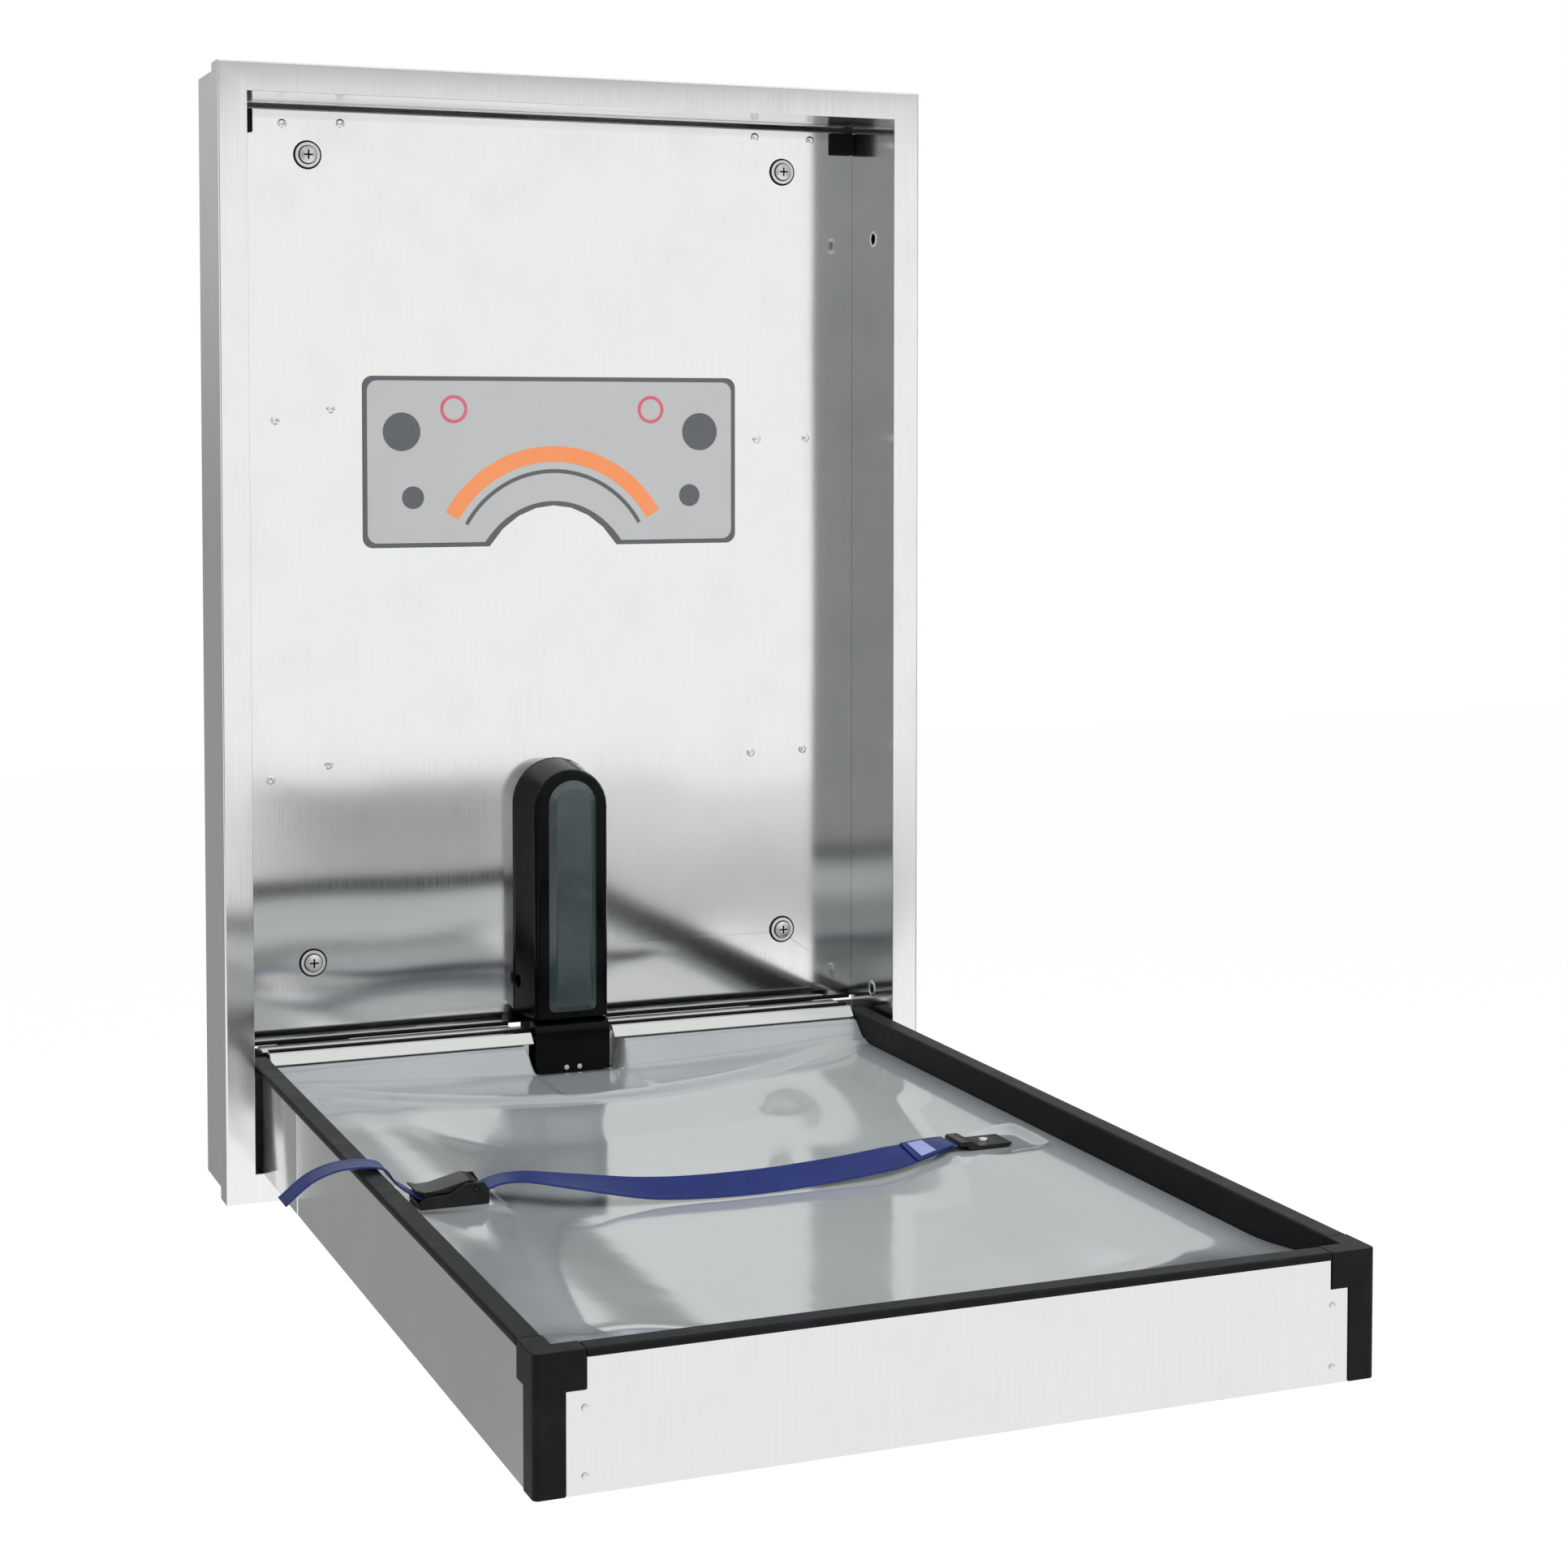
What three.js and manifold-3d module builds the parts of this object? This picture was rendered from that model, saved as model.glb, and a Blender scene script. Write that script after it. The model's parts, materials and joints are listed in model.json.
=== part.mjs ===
import * as THREE from "three";
import { mergeVertices } from "three/addons/utils/BufferGeometryUtils.js";
import Module from "manifold-3d";

// A wall-hung changing station with a tray that folds down.
// Millimetres. +X is right as seen from the room, +Y goes into the wall, +Z is up.
// The origin is the middle of the cabinet's back, on the wall. The tray is modelled open.

// Cabinet sizes
const frameWidth = 635; // outer width of the face frame
const frameHeight = 950; // outer height of the face frame
const frameFace = 24.5; // width of the flat face round the opening
const frameLip = 25; // how far the frame's outer edge turns back
const cabinetDepth = 104; // wall to the front of the frame
const sheet = 1.2; // stainless sheet
const caseInset = 4; // the case skin lies this far inside the frame's outer edge
const channelDepth = 10; // stiffening channels behind the back panel
const channelWidth = 64;
const channelCrown = 40;
const channelSheet = 1.5;
const backFlange = 34; // the case's top and bottom turn in along the wall
const panelTopGap = 3.5; // back panel's upper edge, below the opening's edge
const sleeveTopDepth = 65; // the upper lining stops short of the back panel
const fit = 0.3; // gap between pieces that touch

// Tray sizes
const trayGap = 6; // each side of the tray, to the opening
const trayThickness = 86.5;
const trayTopGap = 7.9; // closed tray to the opening's upper edge
const trayRest = 0.6; // under the open tray, above the opening's lower edge
const trimWidth = 16.5; // edge trim, across the rim
const trimWall = 3;
const trimInner = 25; // height of the trim's inner leg
const trimLip = 5; // height of the trim's outer lip
const trimProud = 1.2; // the trim's lip stands outside the tray's skin
const trimChamfer = 1.5;
const capUpperLength = 33; // corner cap along each side, upper part
const capUpperHeight = 24;
const capLowerLength = 20;
const capProud = 1;
const capWall = 3;
const capRound = 4; // upright outer edge
const railRearDistance = 185; // rails under the bed, in front of the frame
const railFrontDistance = 560;
const railTopHalf = 18;
const railFootHalf = 32;
const railSheet = 1.5;
const rivetRadius = 2.2;
const rivetShank = 1.2;
const rivetInside = 12; // rivets from the edge of the cap's lower part
const rivetDrops = [35, 75.5]; // below the rim

// Moulded bed sizes, depths below the rim
const bedWall = 3;
const bedGap = 0.5; // bed to trim
const bedFloor = 42;
const bedEdge = 24; // along the sides
const bedBand = 29; // foot of the side slopes
const bedFront = 15; // along the front
const ledgeDrop = 7.4; // rear edge, under the bright strip
const ledgeFoot = 35; // foot of the raised ledge at its middle
const ledgeFall = 8; // the foot is this much higher at the bed's sides
const ledgeStep = 6; // height of the ledge's front edge
const ledgeStepReach = 12;
const ledgeSlope = 110; // length of the slope up to the ledge
const ledgeRear = 22; // length of the rise from the ledge to the strip
const crescentReach = 67; // the ledge's bow into the bed
const crescentInset = 31; // the bow ends this far inside the bed's sides
const pocketFloor = 35.4; // pocket for the hinge block
const pocketFlat = 41; // its floor rises in front of this line
const pocketSlope = 0.235;
const pocketRise = 6.4;
const pocketWall = 9;
const pocketReach = 150; // pocket in front of the frame

// Hinge sizes
const hingeBehindFrame = 57; // axis behind the frame's front
const hingeBelowRim = 7;
const hingePinRadius = 2.5;
const knuckleRadius = 4;
const knuckleBore = 2.8;
const knucklesPerSide = 6;
const knuckleStart = 44; // first knuckle, from the middle
const hingePlate = 2.5;
const hingeLip = 9;
const leafSheet = 1.5;
const leafWidth = 16; // the bright strip behind the bed
const leafLip = 5.5; // its front slopes down to this far below the rim
const leafRise = 3; // its top above the rim
const notchHalf = 37.5; // gap in the strip for the damper block
const notchDepth = 41;

// Damper sizes
const leverReach = 19; // lever pin behind and above the hinge axis
const leverPinRadius = 4;
const leverInside = 7; // half the gap between the lever's cheeks
const leverCheek = 3;
const leverFootHalf = 22; // foot plate on the tray's rear wall
const leverFootLow = 66; // below the axis
const leverFootHigh = 44;
const slotPlay = 0.6; // room past the pin at the ends of the slot
const slotRise = 1.25; // room above and below the pin in the slot
const rodRadius = 4;
const cylinderRadius = 10;
const cylinderLength = 118;
const cylinderBore = 4.4;
const rodInside = 52; // rod inside the cylinder when the tray is open
const eyeWall = 2.6;
const eyeHalfWidth = 6;
const topPinRadius = 3;

// Cover over the damper
const coverDepth = 50.8;
const coverBaseHalf = 39.5;
const coverFrontHalf = 34;
const coverHeight = 226.8;
const coverWall = 3;
const coverAboveAxis = 20.6; // lower end of the cover
const panelHalf = 22;
const panelProud = 5;
const panelBevel = 5; // width of its sloping edges
const panelBelowTop = 15;
const panelAboveBottom = 5.8;
const coverHoleRadius = 6; // hole in the cover's left side
const coverHoleAboveBottom = 28;
const coverHoleFromBack = 9;
const blockHalf = 34.5;
const blockDepth = 18;
const blockTop = 11; // above the rim
const blockBottom = 35; // below the rim
const blockRound = 10;
const blockWall = 2.5;
const blockCorner = 8; // lower corners

// Fasteners and small pieces
const screwFromSide = 71; // mounting screws from the opening's sides
const screwBelowTop = 41.5;
const screwAboveRim = 69.5;
const screwHead = 7.5;
const screwHeadHeight = 3.4;
const washerRadius = 11;
const washerHeight = 1.4;
const screwShank = 3;
const screwHole = 3.5;
const bumperWidth = 22;
const bumperHeight = 20;
const bumperDepth = 5;
const bumperFromSide = 12; // middle of the bumper
const bumperBelowTop = 14;
const plateHalf = 175; // plain guide plate on the back panel
const plateLow = 68;
const plateHigh = 219;
const plateSheet = 0.6;
const plateArchHalf = 60;
const plateArchHeight = 36;
const wallHoleFromEnd = 104.5; // small holes in the side walls
const wallHoleRadius = 5;
const wallHoleY = 45; // behind the frame's front

// Strap
const strapWidth = 25;
const strapThick = 1.6;
const strapFromFrame = 330; // line of the strap, in front of the frame
const padDepth = 30; // flat seats for anchor and buckle, below the rim
const padFromSide = 14; // outer edge of a seat, from the bed's edge
const padLength = 76;
const padHalf = 30;
const anchorFromSide = 33; // outer end of the anchor, from the bed's edge
const anchorLength = 46;
const anchorScrewFromEnd = 20;
const buckleFromSide = 27;
const buckleLength = 52;
const buckleHalf = 16.5;
const cheekWall = 3;
const buckleBase = 3;
const buckleScrewFromLeft = 12;
const leverPivotX = 42; // from the buckle's left end
const leverPivotZ = 11.5; // above the buckle's underside
const leverPivotRadius = 2;
const screwSmall = 4;
const screwSmallShank = 2;
const strapSplit = 40; // webbing and tail meet inside the buckle, from its left end
const tailReach = 55; // end of the loose tail, outside the tray's side
const tailRise = 4.2; // highest point of the tail, above the rim
const tailDrop = 18; // end of the tail, below the rim

// Places that follow from the sizes
const openHalfX = frameWidth / 2 - frameFace;
const openHalfZ = frameHeight / 2 - frameFace;
const caseHalfX = frameWidth / 2 - caseInset;
const caseHalfZ = frameHeight / 2 - caseInset;
const frontY = -cabinetDepth;
const backY = -channelDepth - sheet; // room side of the back panel
const insideFrontY = frontY + sheet + fit;
const trayHalf = openHalfX - trayGap;
const trayBottom = -openHalfZ + trayRest;
const rim = trayBottom + trayThickness;
const axisY = frontY + hingeBehindFrame;
const axisZ = rim - hingeBelowRim;
const trayReach = openHalfZ - trayTopGap - axisZ - hingeBehindFrame - capProud; // in front of the frame
const trayFrontY = frontY - trayReach;
const leafRearY = axisY - knuckleRadius - fit; // rear face of the tray's rear wall
const leafFrontY = leafRearY - leafWidth;
const trimInnerX = trayHalf - trimWidth + trimProud;
const bedHalf = trimInnerX - bedGap;
const trimRearY = leafRearY - leafSheet - fit * 4;
const pinY = axisY + leverReach;
const pinZ = axisZ + leverReach;
const leverRadius = leverReach * Math.SQRT2;
const rodY = axisY + (leverReach + leverRadius) / 2;
const slotHalf = (leverRadius - leverReach) / 2 + leverPinRadius + slotPlay;
const slotHalfHeight = leverPinRadius + slotRise;
const eyeHalf = slotHalf + eyeWall;
const eyeHalfHeight = slotHalfHeight + eyeWall;
const coverBottom = axisZ + coverAboveAxis;
const coverTop = coverBottom + coverHeight;
const panelTop = coverTop - panelBelowTop;
const panelBottom = coverBottom + panelAboveBottom;
const cylinderBottom = pinZ + eyeHalfHeight + 4;
const cylinderTop = cylinderBottom + cylinderLength;
const coverFrontY = backY - coverDepth;
const screwSpanX = openHalfX - screwFromSide;
const screwHigh = openHalfZ - screwBelowTop;
const screwLow = rim + screwAboveRim;
const bumperMiddleX = openHalfX - bumperFromSide;
const bumperMiddleZ = openHalfZ - bumperBelowTop;
const wallHoleHigh = openHalfZ - wallHoleFromEnd;
const strapY = -strapFromFrame;
const strapRowY = frontY + strapY;
const padOuter = bedHalf - padFromSide;
const padInner = padOuter - padLength;
const anchorEnd = bedHalf - anchorFromSide;
const anchorStart = anchorEnd - anchorLength;
const anchorScrewX = anchorEnd - anchorScrewFromEnd;
const buckleFloor = rim - padDepth + fit;
const buckleLeft = -bedHalf + buckleFromSide;
const buckleRight = buckleLeft + buckleLength;

const wasm = await Module();
wasm.setup();

// Geometry helpers

function solid(geometry) {
  const bare = new THREE.BufferGeometry();
  const flat = geometry.index ? geometry.toNonIndexed() : geometry;
  bare.setAttribute("position", flat.getAttribute("position").clone());
  const merged = mergeVertices(bare, 1e-4);
  return new wasm.Manifold(
    new wasm.Mesh({
      numProp: 3,
      vertProperties: new Float32Array(merged.getAttribute("position").array),
      triVerts: new Uint32Array(merged.index.array),
    }),
  );
}

function geometryOf(made) {
  const mesh = made.getMesh();
  const geometry = new THREE.BufferGeometry();
  geometry.setAttribute("position", new THREE.BufferAttribute(new Float32Array(mesh.vertProperties), 3));
  geometry.setIndex(new THREE.BufferAttribute(new Uint32Array(mesh.triVerts), 1));
  return geometry;
}

function join(...pieces) {
  return pieces.reduce((sum, piece) => sum.add(piece));
}

function slab([x0, x1], [y0, y1], [z0, z1]) {
  const box = new THREE.BoxGeometry(Math.abs(x1 - x0), Math.abs(y1 - y0), Math.abs(z1 - z0));
  box.translate((x0 + x1) / 2, (y0 + y1) / 2, (z0 + z1) / 2);
  return solid(box);
}

function shapeOf(points) {
  return new THREE.Shape(points.map(([a, b]) => new THREE.Vector2(a, b)));
}

function extrude(shape, length, curveSegments = 16) {
  return new THREE.ExtrudeGeometry(shape, { depth: length, bevelEnabled: false, curveSegments });
}

// Outline in (y, z), pushed along X
function alongX(points, x0, x1) {
  const made = extrude(shapeOf(points), x1 - x0);
  made.applyMatrix4(new THREE.Matrix4().set(0, 0, 1, x0, 1, 0, 0, 0, 0, 1, 0, 0, 0, 0, 0, 1));
  return solid(made);
}

// Outline in (x, z), pushed along Y
function alongY(points, y0, y1) {
  const made = extrude(shapeOf(points.map(([x, z]) => [z, x])), y1 - y0);
  made.applyMatrix4(new THREE.Matrix4().set(0, 1, 0, 0, 0, 0, 1, y0, 1, 0, 0, 0, 0, 0, 0, 1));
  return solid(made);
}

// Outline in (x, y), pushed along Z
function alongZ(points, z0, z1) {
  const made = extrude(shapeOf(points), z1 - z0);
  made.translate(0, 0, z0);
  return solid(made);
}

function rod(axis, centre, radius, length, sides = 20) {
  const made = new THREE.CylinderGeometry(radius, radius, length, sides);
  if (axis === "x") made.rotateZ(Math.PI / 2);
  if (axis === "z") made.rotateX(Math.PI / 2);
  made.translate(...centre);
  return solid(made);
}

// Turned piece: profile of [radius, height] pairs from the axis back to the axis, axis along -Y
function turned(profile, [x, y, z], sides = 20) {
  const made = new THREE.LatheGeometry(profile.map(([r, h]) => new THREE.Vector2(r, h)), sides);
  made.rotateX(Math.PI);
  made.translate(x, y, z);
  return solid(made);
}

// Closed skin through a row of outlines with equally many points
function loft(rings) {
  const count = rings[0].length;
  const points = rings.flat();
  const faces = [];
  for (let r = 0; r + 1 < rings.length; r++) {
    for (let i = 0; i < count; i++) {
      const a = r * count + i;
      const b = r * count + ((i + 1) % count);
      faces.push(a, b, a + count, b, b + count, a + count);
    }
  }
  for (const [ring, turn] of [[0, true], [rings.length - 1, false]]) {
    const first = ring * count;
    for (let i = 1; i + 1 < count; i++) {
      faces.push(...(turn ? [first, first + i + 1, first + i] : [first, first + i, first + i + 1]));
    }
  }
  const made = new THREE.BufferGeometry();
  made.setAttribute("position", new THREE.Float32BufferAttribute(points.flat(), 3));
  made.setIndex(faces);
  return solid(made);
}

function smooth(t) {
  const c = Math.min(1, Math.max(0, t));
  return c * c * (3 - 2 * c);
}

function linesBetween(from, to, step, extra = []) {
  const count = Math.ceil((to - from) / step);
  const even = Array.from({ length: count + 1 }, (_, i) => from + ((to - from) * i) / count);
  const clear = (v) => extra.every((e) => Math.abs(e - v) > step / 4);
  const kept = even.filter((v, i) => i === 0 || i === count || clear(v));
  return [...kept, ...extra].sort((a, b) => a - b);
}

// Materials
const steelColour = { color: 0xc9cac8, metalness: 0.9, roughness: 0.35 };
const plainSteelColour = { color: 0x9b9d9d, metalness: 0.9, roughness: 0.45 };
const zincColour = { color: 0xb9b6aa, metalness: 0.85, roughness: 0.35 };
const blackColour = { color: 0x1f2326, metalness: 0, roughness: 0.45 };
const slateColour = { color: 0x3b4449, metalness: 0, roughness: 0.3 };
const bedColour = { color: 0xb9bcbd, metalness: 0, roughness: 0.25 };
const strapColour = { color: 0x2b3f8f, metalness: 0, roughness: 0.8 };
const plateColour = { color: 0xb5b6b6, metalness: 0, roughness: 0.5 };

const station = new THREE.Group();

function add(name, made, look) {
  const mesh = new THREE.Mesh(geometryOf(made), new THREE.MeshStandardMaterial(look));
  mesh.name = name;
  station.add(mesh);
}

const sides = [["left", -1], ["right", 1]];

// Cabinet: outer case, inner sleeve and face frame

function addCase() {
  for (const [side, s] of sides) {
    add(`case_side_${side}`, slab([s * (caseHalfX - sheet), s * caseHalfX], [insideFrontY, 0],
      [-caseHalfZ, caseHalfZ]), steelColour);
  }
  const acrossX = caseHalfX - sheet - fit;
  for (const [name, s] of [["case_top", 1], ["case_bottom", -1]]) {
    const skin = slab([-acrossX, acrossX], [insideFrontY, 0], [s * (caseHalfZ - sheet), s * caseHalfZ]);
    const flange = slab([-acrossX, acrossX], [-sheet, 0], [s * (caseHalfZ - backFlange), s * caseHalfZ]);
    add(name, skin.add(flange), steelColour);
  }
}

function addSleeve() {
  const rearY = backY - fit;
  for (const [side, s] of sides) {
    let wall = slab([s * openHalfX, s * (openHalfX + sheet)], [insideFrontY, rearY],
      [-openHalfZ - sheet, openHalfZ + sheet]);
    for (const z of [-wallHoleHigh, wallHoleHigh]) {
      wall = wall.subtract(rod("x", [s * openHalfX, frontY + wallHoleY, z], wallHoleRadius, 10 * sheet));
    }
    add(`sleeve_side_${side}`, wall, steelColour);
  }
  const acrossX = openHalfX - fit;
  const topRearY = insideFrontY + sleeveTopDepth;
  for (const [name, s, endY] of [["sleeve_top", 1, topRearY], ["sleeve_bottom", -1, rearY]]) {
    add(name, slab([-acrossX, acrossX], [insideFrontY, endY], [s * openHalfZ, s * (openHalfZ + sheet)]),
      steelColour);
  }
}

function addFaceFrame() {
  const halfX = frameWidth / 2;
  const halfZ = frameHeight / 2;
  const face = slab([-halfX, halfX], [frontY, frontY + sheet], [-halfZ, halfZ]);
  const opening = slab([-openHalfX, openHalfX], [frontY - sheet, frontY + 2 * sheet],
    [-openHalfZ, openHalfZ]);
  const lipOuter = slab([-halfX, halfX], [frontY, frontY + frameLip], [-halfZ, halfZ]);
  const lipInner = slab([-halfX + sheet, halfX - sheet], [frontY - sheet, frontY + frameLip + sheet],
    [-halfZ + sheet, halfZ - sheet]);
  add("face_frame", face.subtract(opening).add(lipOuter.subtract(lipInner)), steelColour);
}

// Back panel with its channels and mounting screws

const backLow = rim + 2;
const backHigh = openHalfZ - panelTopGap;
const backHalfX = caseHalfX - sheet - fit;
const channelHalfZ = caseHalfZ - backFlange - fit;
const screwPlaces = [[-screwSpanX, screwHigh], [screwSpanX, screwHigh], [-screwSpanX, screwLow],
  [screwSpanX, screwLow]];

function addBackPanel() {
  let panel = slab([-backHalfX, backHalfX], [backY, backY + sheet], [backLow, backHigh]);
  for (const [x, z] of screwPlaces) {
    panel = panel.subtract(rod("y", [x, backY, z], screwHole, 6 * sheet));
  }
  add("back_panel", panel, steelColour);
}

function addChannels() {
  const seatY = -channelDepth + fit;
  const half = channelWidth / 2;
  const crown = channelCrown / 2;
  const profile = [[-half, seatY], [-crown + channelSheet, seatY], [-crown + channelSheet, -channelSheet],
    [crown - channelSheet, -channelSheet], [crown - channelSheet, seatY], [half, seatY],
    [half, seatY + channelSheet], [crown, seatY + channelSheet], [crown, 0], [-crown, 0],
    [-crown, seatY + channelSheet], [-half, seatY + channelSheet]];
  for (const [name, x] of [["left", -screwSpanX], ["centre", 0], ["right", screwSpanX]]) {
    let channel = alongZ(profile.map(([a, b]) => [a + x, b]), -channelHalfZ, channelHalfZ);
    if (x !== 0) {
      for (const z of [screwLow, screwHigh]) {
        channel = channel.subtract(rod("y", [x, 0, z], screwHole, 4 * channelSheet));
      }
    }
    add(`rear_channel_${name}`, channel, plainSteelColour);
  }
}

function addMountingScrews() {
  const tip = -fit; // the screws stop at the wall face here; the wall takes the rest
  const headY = backY - fit;
  const profile = [[0, headY - tip], [screwShank, headY - tip], [screwShank, 0], [washerRadius, 0],
    [washerRadius, washerHeight], [screwHead, washerHeight], [screwHead, screwHeadHeight],
    [screwHead * 0.6, screwHeadHeight + 1.2], [0, screwHeadHeight + 1.4]];
  const driver = 1.3;
  screwPlaces.forEach(([x, z], i) => {
    let screw = turned(profile, [x, headY, z], 24);
    const recessY = [headY - screwHeadHeight - 3, headY - screwHeadHeight + 1];
    screw = screw.subtract(slab([x - 4, x + 4], recessY, [z - driver / 2, z + driver / 2]));
    screw = screw.subtract(slab([x - driver / 2, x + driver / 2], recessY, [z - 4, z + 4]));
    add(`mounting_screw_${i + 1}`, screw, zincColour);
  });
}

function addGuidePlate() {
  const plate = new THREE.Shape();
  const round = 9;
  plate.moveTo(-plateHalf + round, plateHigh);
  plate.lineTo(plateHalf - round, plateHigh);
  plate.absarc(plateHalf - round, plateHigh - round, round, Math.PI / 2, 0, true);
  plate.lineTo(plateHalf, plateLow + round);
  plate.absarc(plateHalf - round, plateLow + round, round, 0, -Math.PI / 2, true);
  plate.lineTo(plateArchHalf, plateLow);
  plate.bezierCurveTo(plateArchHalf / 2, plateLow + plateArchHeight * 1.33, -plateArchHalf / 2,
    plateLow + plateArchHeight * 1.33, -plateArchHalf, plateLow);
  plate.lineTo(-plateHalf + round, plateLow);
  plate.absarc(-plateHalf + round, plateLow + round, round, -Math.PI / 2, -Math.PI, true);
  plate.lineTo(-plateHalf, plateHigh - round);
  plate.absarc(-plateHalf + round, plateHigh - round, round, Math.PI, Math.PI / 2, true);
  const made = extrude(plate, plateSheet, 8);
  made.rotateX(Math.PI / 2);
  made.translate(0, backY - fit, 0);
  add("guide_plate", solid(made), plateColour);
}

function addBumpers() {
  const frontFace = backY - fit - bumperDepth;
  const chamfer = bumperDepth / 3;
  for (const [side, s] of sides) {
    const x0 = s * bumperMiddleX - bumperWidth / 2;
    const x1 = s * bumperMiddleX + bumperWidth / 2;
    const profile = [[x0, backY - fit], [x1, backY - fit], [x1, frontFace + chamfer],
      [x1 - chamfer, frontFace], [x0 + chamfer, frontFace], [x0, frontFace + chamfer]];
    add(`bumper_${side}`, alongZ(profile, bumperMiddleZ - bumperHeight / 2, bumperMiddleZ + bumperHeight / 2),
      blackColour);
  }
}

// Hinge: fixed base, tray leaf and pin share knuckles in turn along the axis

const knuckleEnd = bedHalf - 4;
const knuckleLength = (knuckleEnd - knuckleStart) / knucklesPerSide;

function knuckleSpans(first) {
  const spans = [];
  for (let i = first; i < knucklesPerSide; i += 2) {
    const from = knuckleStart + i * knuckleLength + fit;
    const to = from + knuckleLength - 2 * fit;
    spans.push([from, to], [-to, -from]);
  }
  return spans;
}

function axisRod(radius, x0, x1) {
  return rod("x", [(x0 + x1) / 2, axisY, axisZ], radius, x1 - x0, 16);
}

const hingeBaseTop = rim - 2;

function addHingeBase() {
  const halfX = openHalfX - fit;
  const frontFace = -channelDepth - hingePlate;
  let base = slab([-halfX, halfX], [frontFace, -channelDepth], [-openHalfZ + fit, hingeBaseTop]);
  base = base.add(slab([-halfX + 20, halfX - 20], [frontFace - hingeLip, frontFace + 1],
    [hingeBaseTop - 1.5, hingeBaseTop]));
  for (const [x0, x1] of knuckleSpans(0)) {
    const arm = slab([x0, x1], [axisY, frontFace + 1], [axisZ - knuckleRadius - 1.5, axisZ - knuckleBore]);
    base = base.add(arm).add(axisRod(knuckleRadius, x0, x1));
  }
  base = base.subtract(axisRod(knuckleBore, -openHalfX, openHalfX));
  const leverRoom = leverInside + leverCheek + 10;
  const roomLow = axisZ - leverReach - eyeHalfHeight - 10;
  base = base.subtract(slab([-leverRoom, leverRoom], [frontFace - hingeLip - 5, 0],
    [roomLow, hingeBaseTop + 5]));
  add("hinge_base", base, plainSteelColour);
}

function addHingePin() {
  add("hinge_pin", axisRod(hingePinRadius, -knuckleEnd, knuckleEnd), plainSteelColour);
}

function addTrayLeaf() {
  const wallHalf = trayHalf - sheet - fit;
  const wallFrontY = leafRearY - leafSheet;
  let leaf = slab([-wallHalf, wallHalf], [wallFrontY, leafRearY],
    [trayBottom + sheet + fit, rim - trimInner - fit]);
  const top = rim + leafRise;
  leaf = leaf.add(slab([-bedHalf, bedHalf], [wallFrontY, leafRearY], [rim - trimInner - 1, top]));
  const bendY = leafFrontY + leafLip + leafRise;
  const turn = leafSheet * Math.SQRT1_2;
  const strip = [[leafRearY, top], [bendY, top], [leafFrontY, rim - leafLip],
    [leafFrontY + turn, rim - leafLip - turn], [bendY + leafSheet * (Math.SQRT2 - 1), top - leafSheet],
    [leafRearY, top - leafSheet]];
  leaf = leaf.add(alongX(strip, -bedHalf, bedHalf));
  for (const [x0, x1] of knuckleSpans(1)) {
    const bridge = slab([x0, x1], [leafRearY - 1, axisY], [axisZ + knuckleBore, axisZ + knuckleRadius]);
    leaf = leaf.add(bridge).add(axisRod(knuckleRadius, x0, x1));
  }
  leaf = leaf.subtract(axisRod(knuckleBore, -openHalfX, openHalfX));
  leaf = leaf.subtract(slab([-notchHalf, notchHalf], [leafFrontY - 1, axisY + knuckleRadius + 1],
    [rim - notchDepth, top + 1]));
  add("tray_hinge_leaf", leaf, steelColour);
}

// Damper: cylinder on the back panel, rod with a slotted eye, lever on the tray

function addDamper() {
  const tabHeight = 16;
  const tabHalfX = 4;
  const pinHeight = cylinderTop + tabHeight - 7;
  let cylinder = rod("z", [0, rodY, (cylinderBottom + cylinderTop) / 2], cylinderRadius, cylinderLength, 24);
  cylinder = cylinder.add(slab([-tabHalfX, tabHalfX], [rodY - 7, rodY + 7],
    [cylinderTop - 1, cylinderTop + tabHeight]));
  const boreMiddle = [0, rodY, cylinderBottom + rodInside / 2];
  cylinder = cylinder.subtract(rod("z", boreMiddle, cylinderBore, rodInside + 8, 20));
  cylinder = cylinder.subtract(rod("x", [0, rodY, pinHeight], topPinRadius + fit, 40));
  add("damper_cylinder", cylinder, plainSteelColour);

  const earIn = tabHalfX + fit;
  const earOut = earIn + 3;
  const plateHigh = pinHeight + 14;
  const plateLowEnd = pinHeight - 14;
  const seatY = backY - fit;
  let bracket = slab([-16, 16], [seatY - 2.5, seatY], [plateLowEnd, plateHigh]);
  for (const s of [-1, 1]) {
    bracket = bracket.add(slab([s * earIn, s * earOut], [rodY - 7, seatY - 1],
      [pinHeight - 8, pinHeight + 8]));
  }
  bracket = bracket.subtract(rod("x", [0, rodY, pinHeight], topPinRadius + fit, 40));
  add("damper_bracket", bracket, plainSteelColour);
  add("damper_top_pin", rod("x", [0, rodY, pinHeight], topPinRadius, 2 * earOut + 4), zincColour);

  const rodTop = cylinderBottom + rodInside;
  const rodBottom = pinZ + eyeHalfHeight + fit;
  add("damper_rod", rod("z", [0, rodY, (rodTop + rodBottom) / 2], rodRadius, rodTop - rodBottom), zincColour);

  let eye = slab([-eyeHalfWidth, eyeHalfWidth], [rodY - eyeHalf, rodY + eyeHalf],
    [pinZ - eyeHalfHeight, pinZ + eyeHalfHeight]);
  eye = eye.subtract(slab([-2 * eyeHalfWidth, 2 * eyeHalfWidth], [rodY - slotHalf, rodY + slotHalf],
    [pinZ - slotHalfHeight, pinZ + slotHalfHeight]));
  add("damper_rod_eye", eye, plainSteelColour);
}

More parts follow.
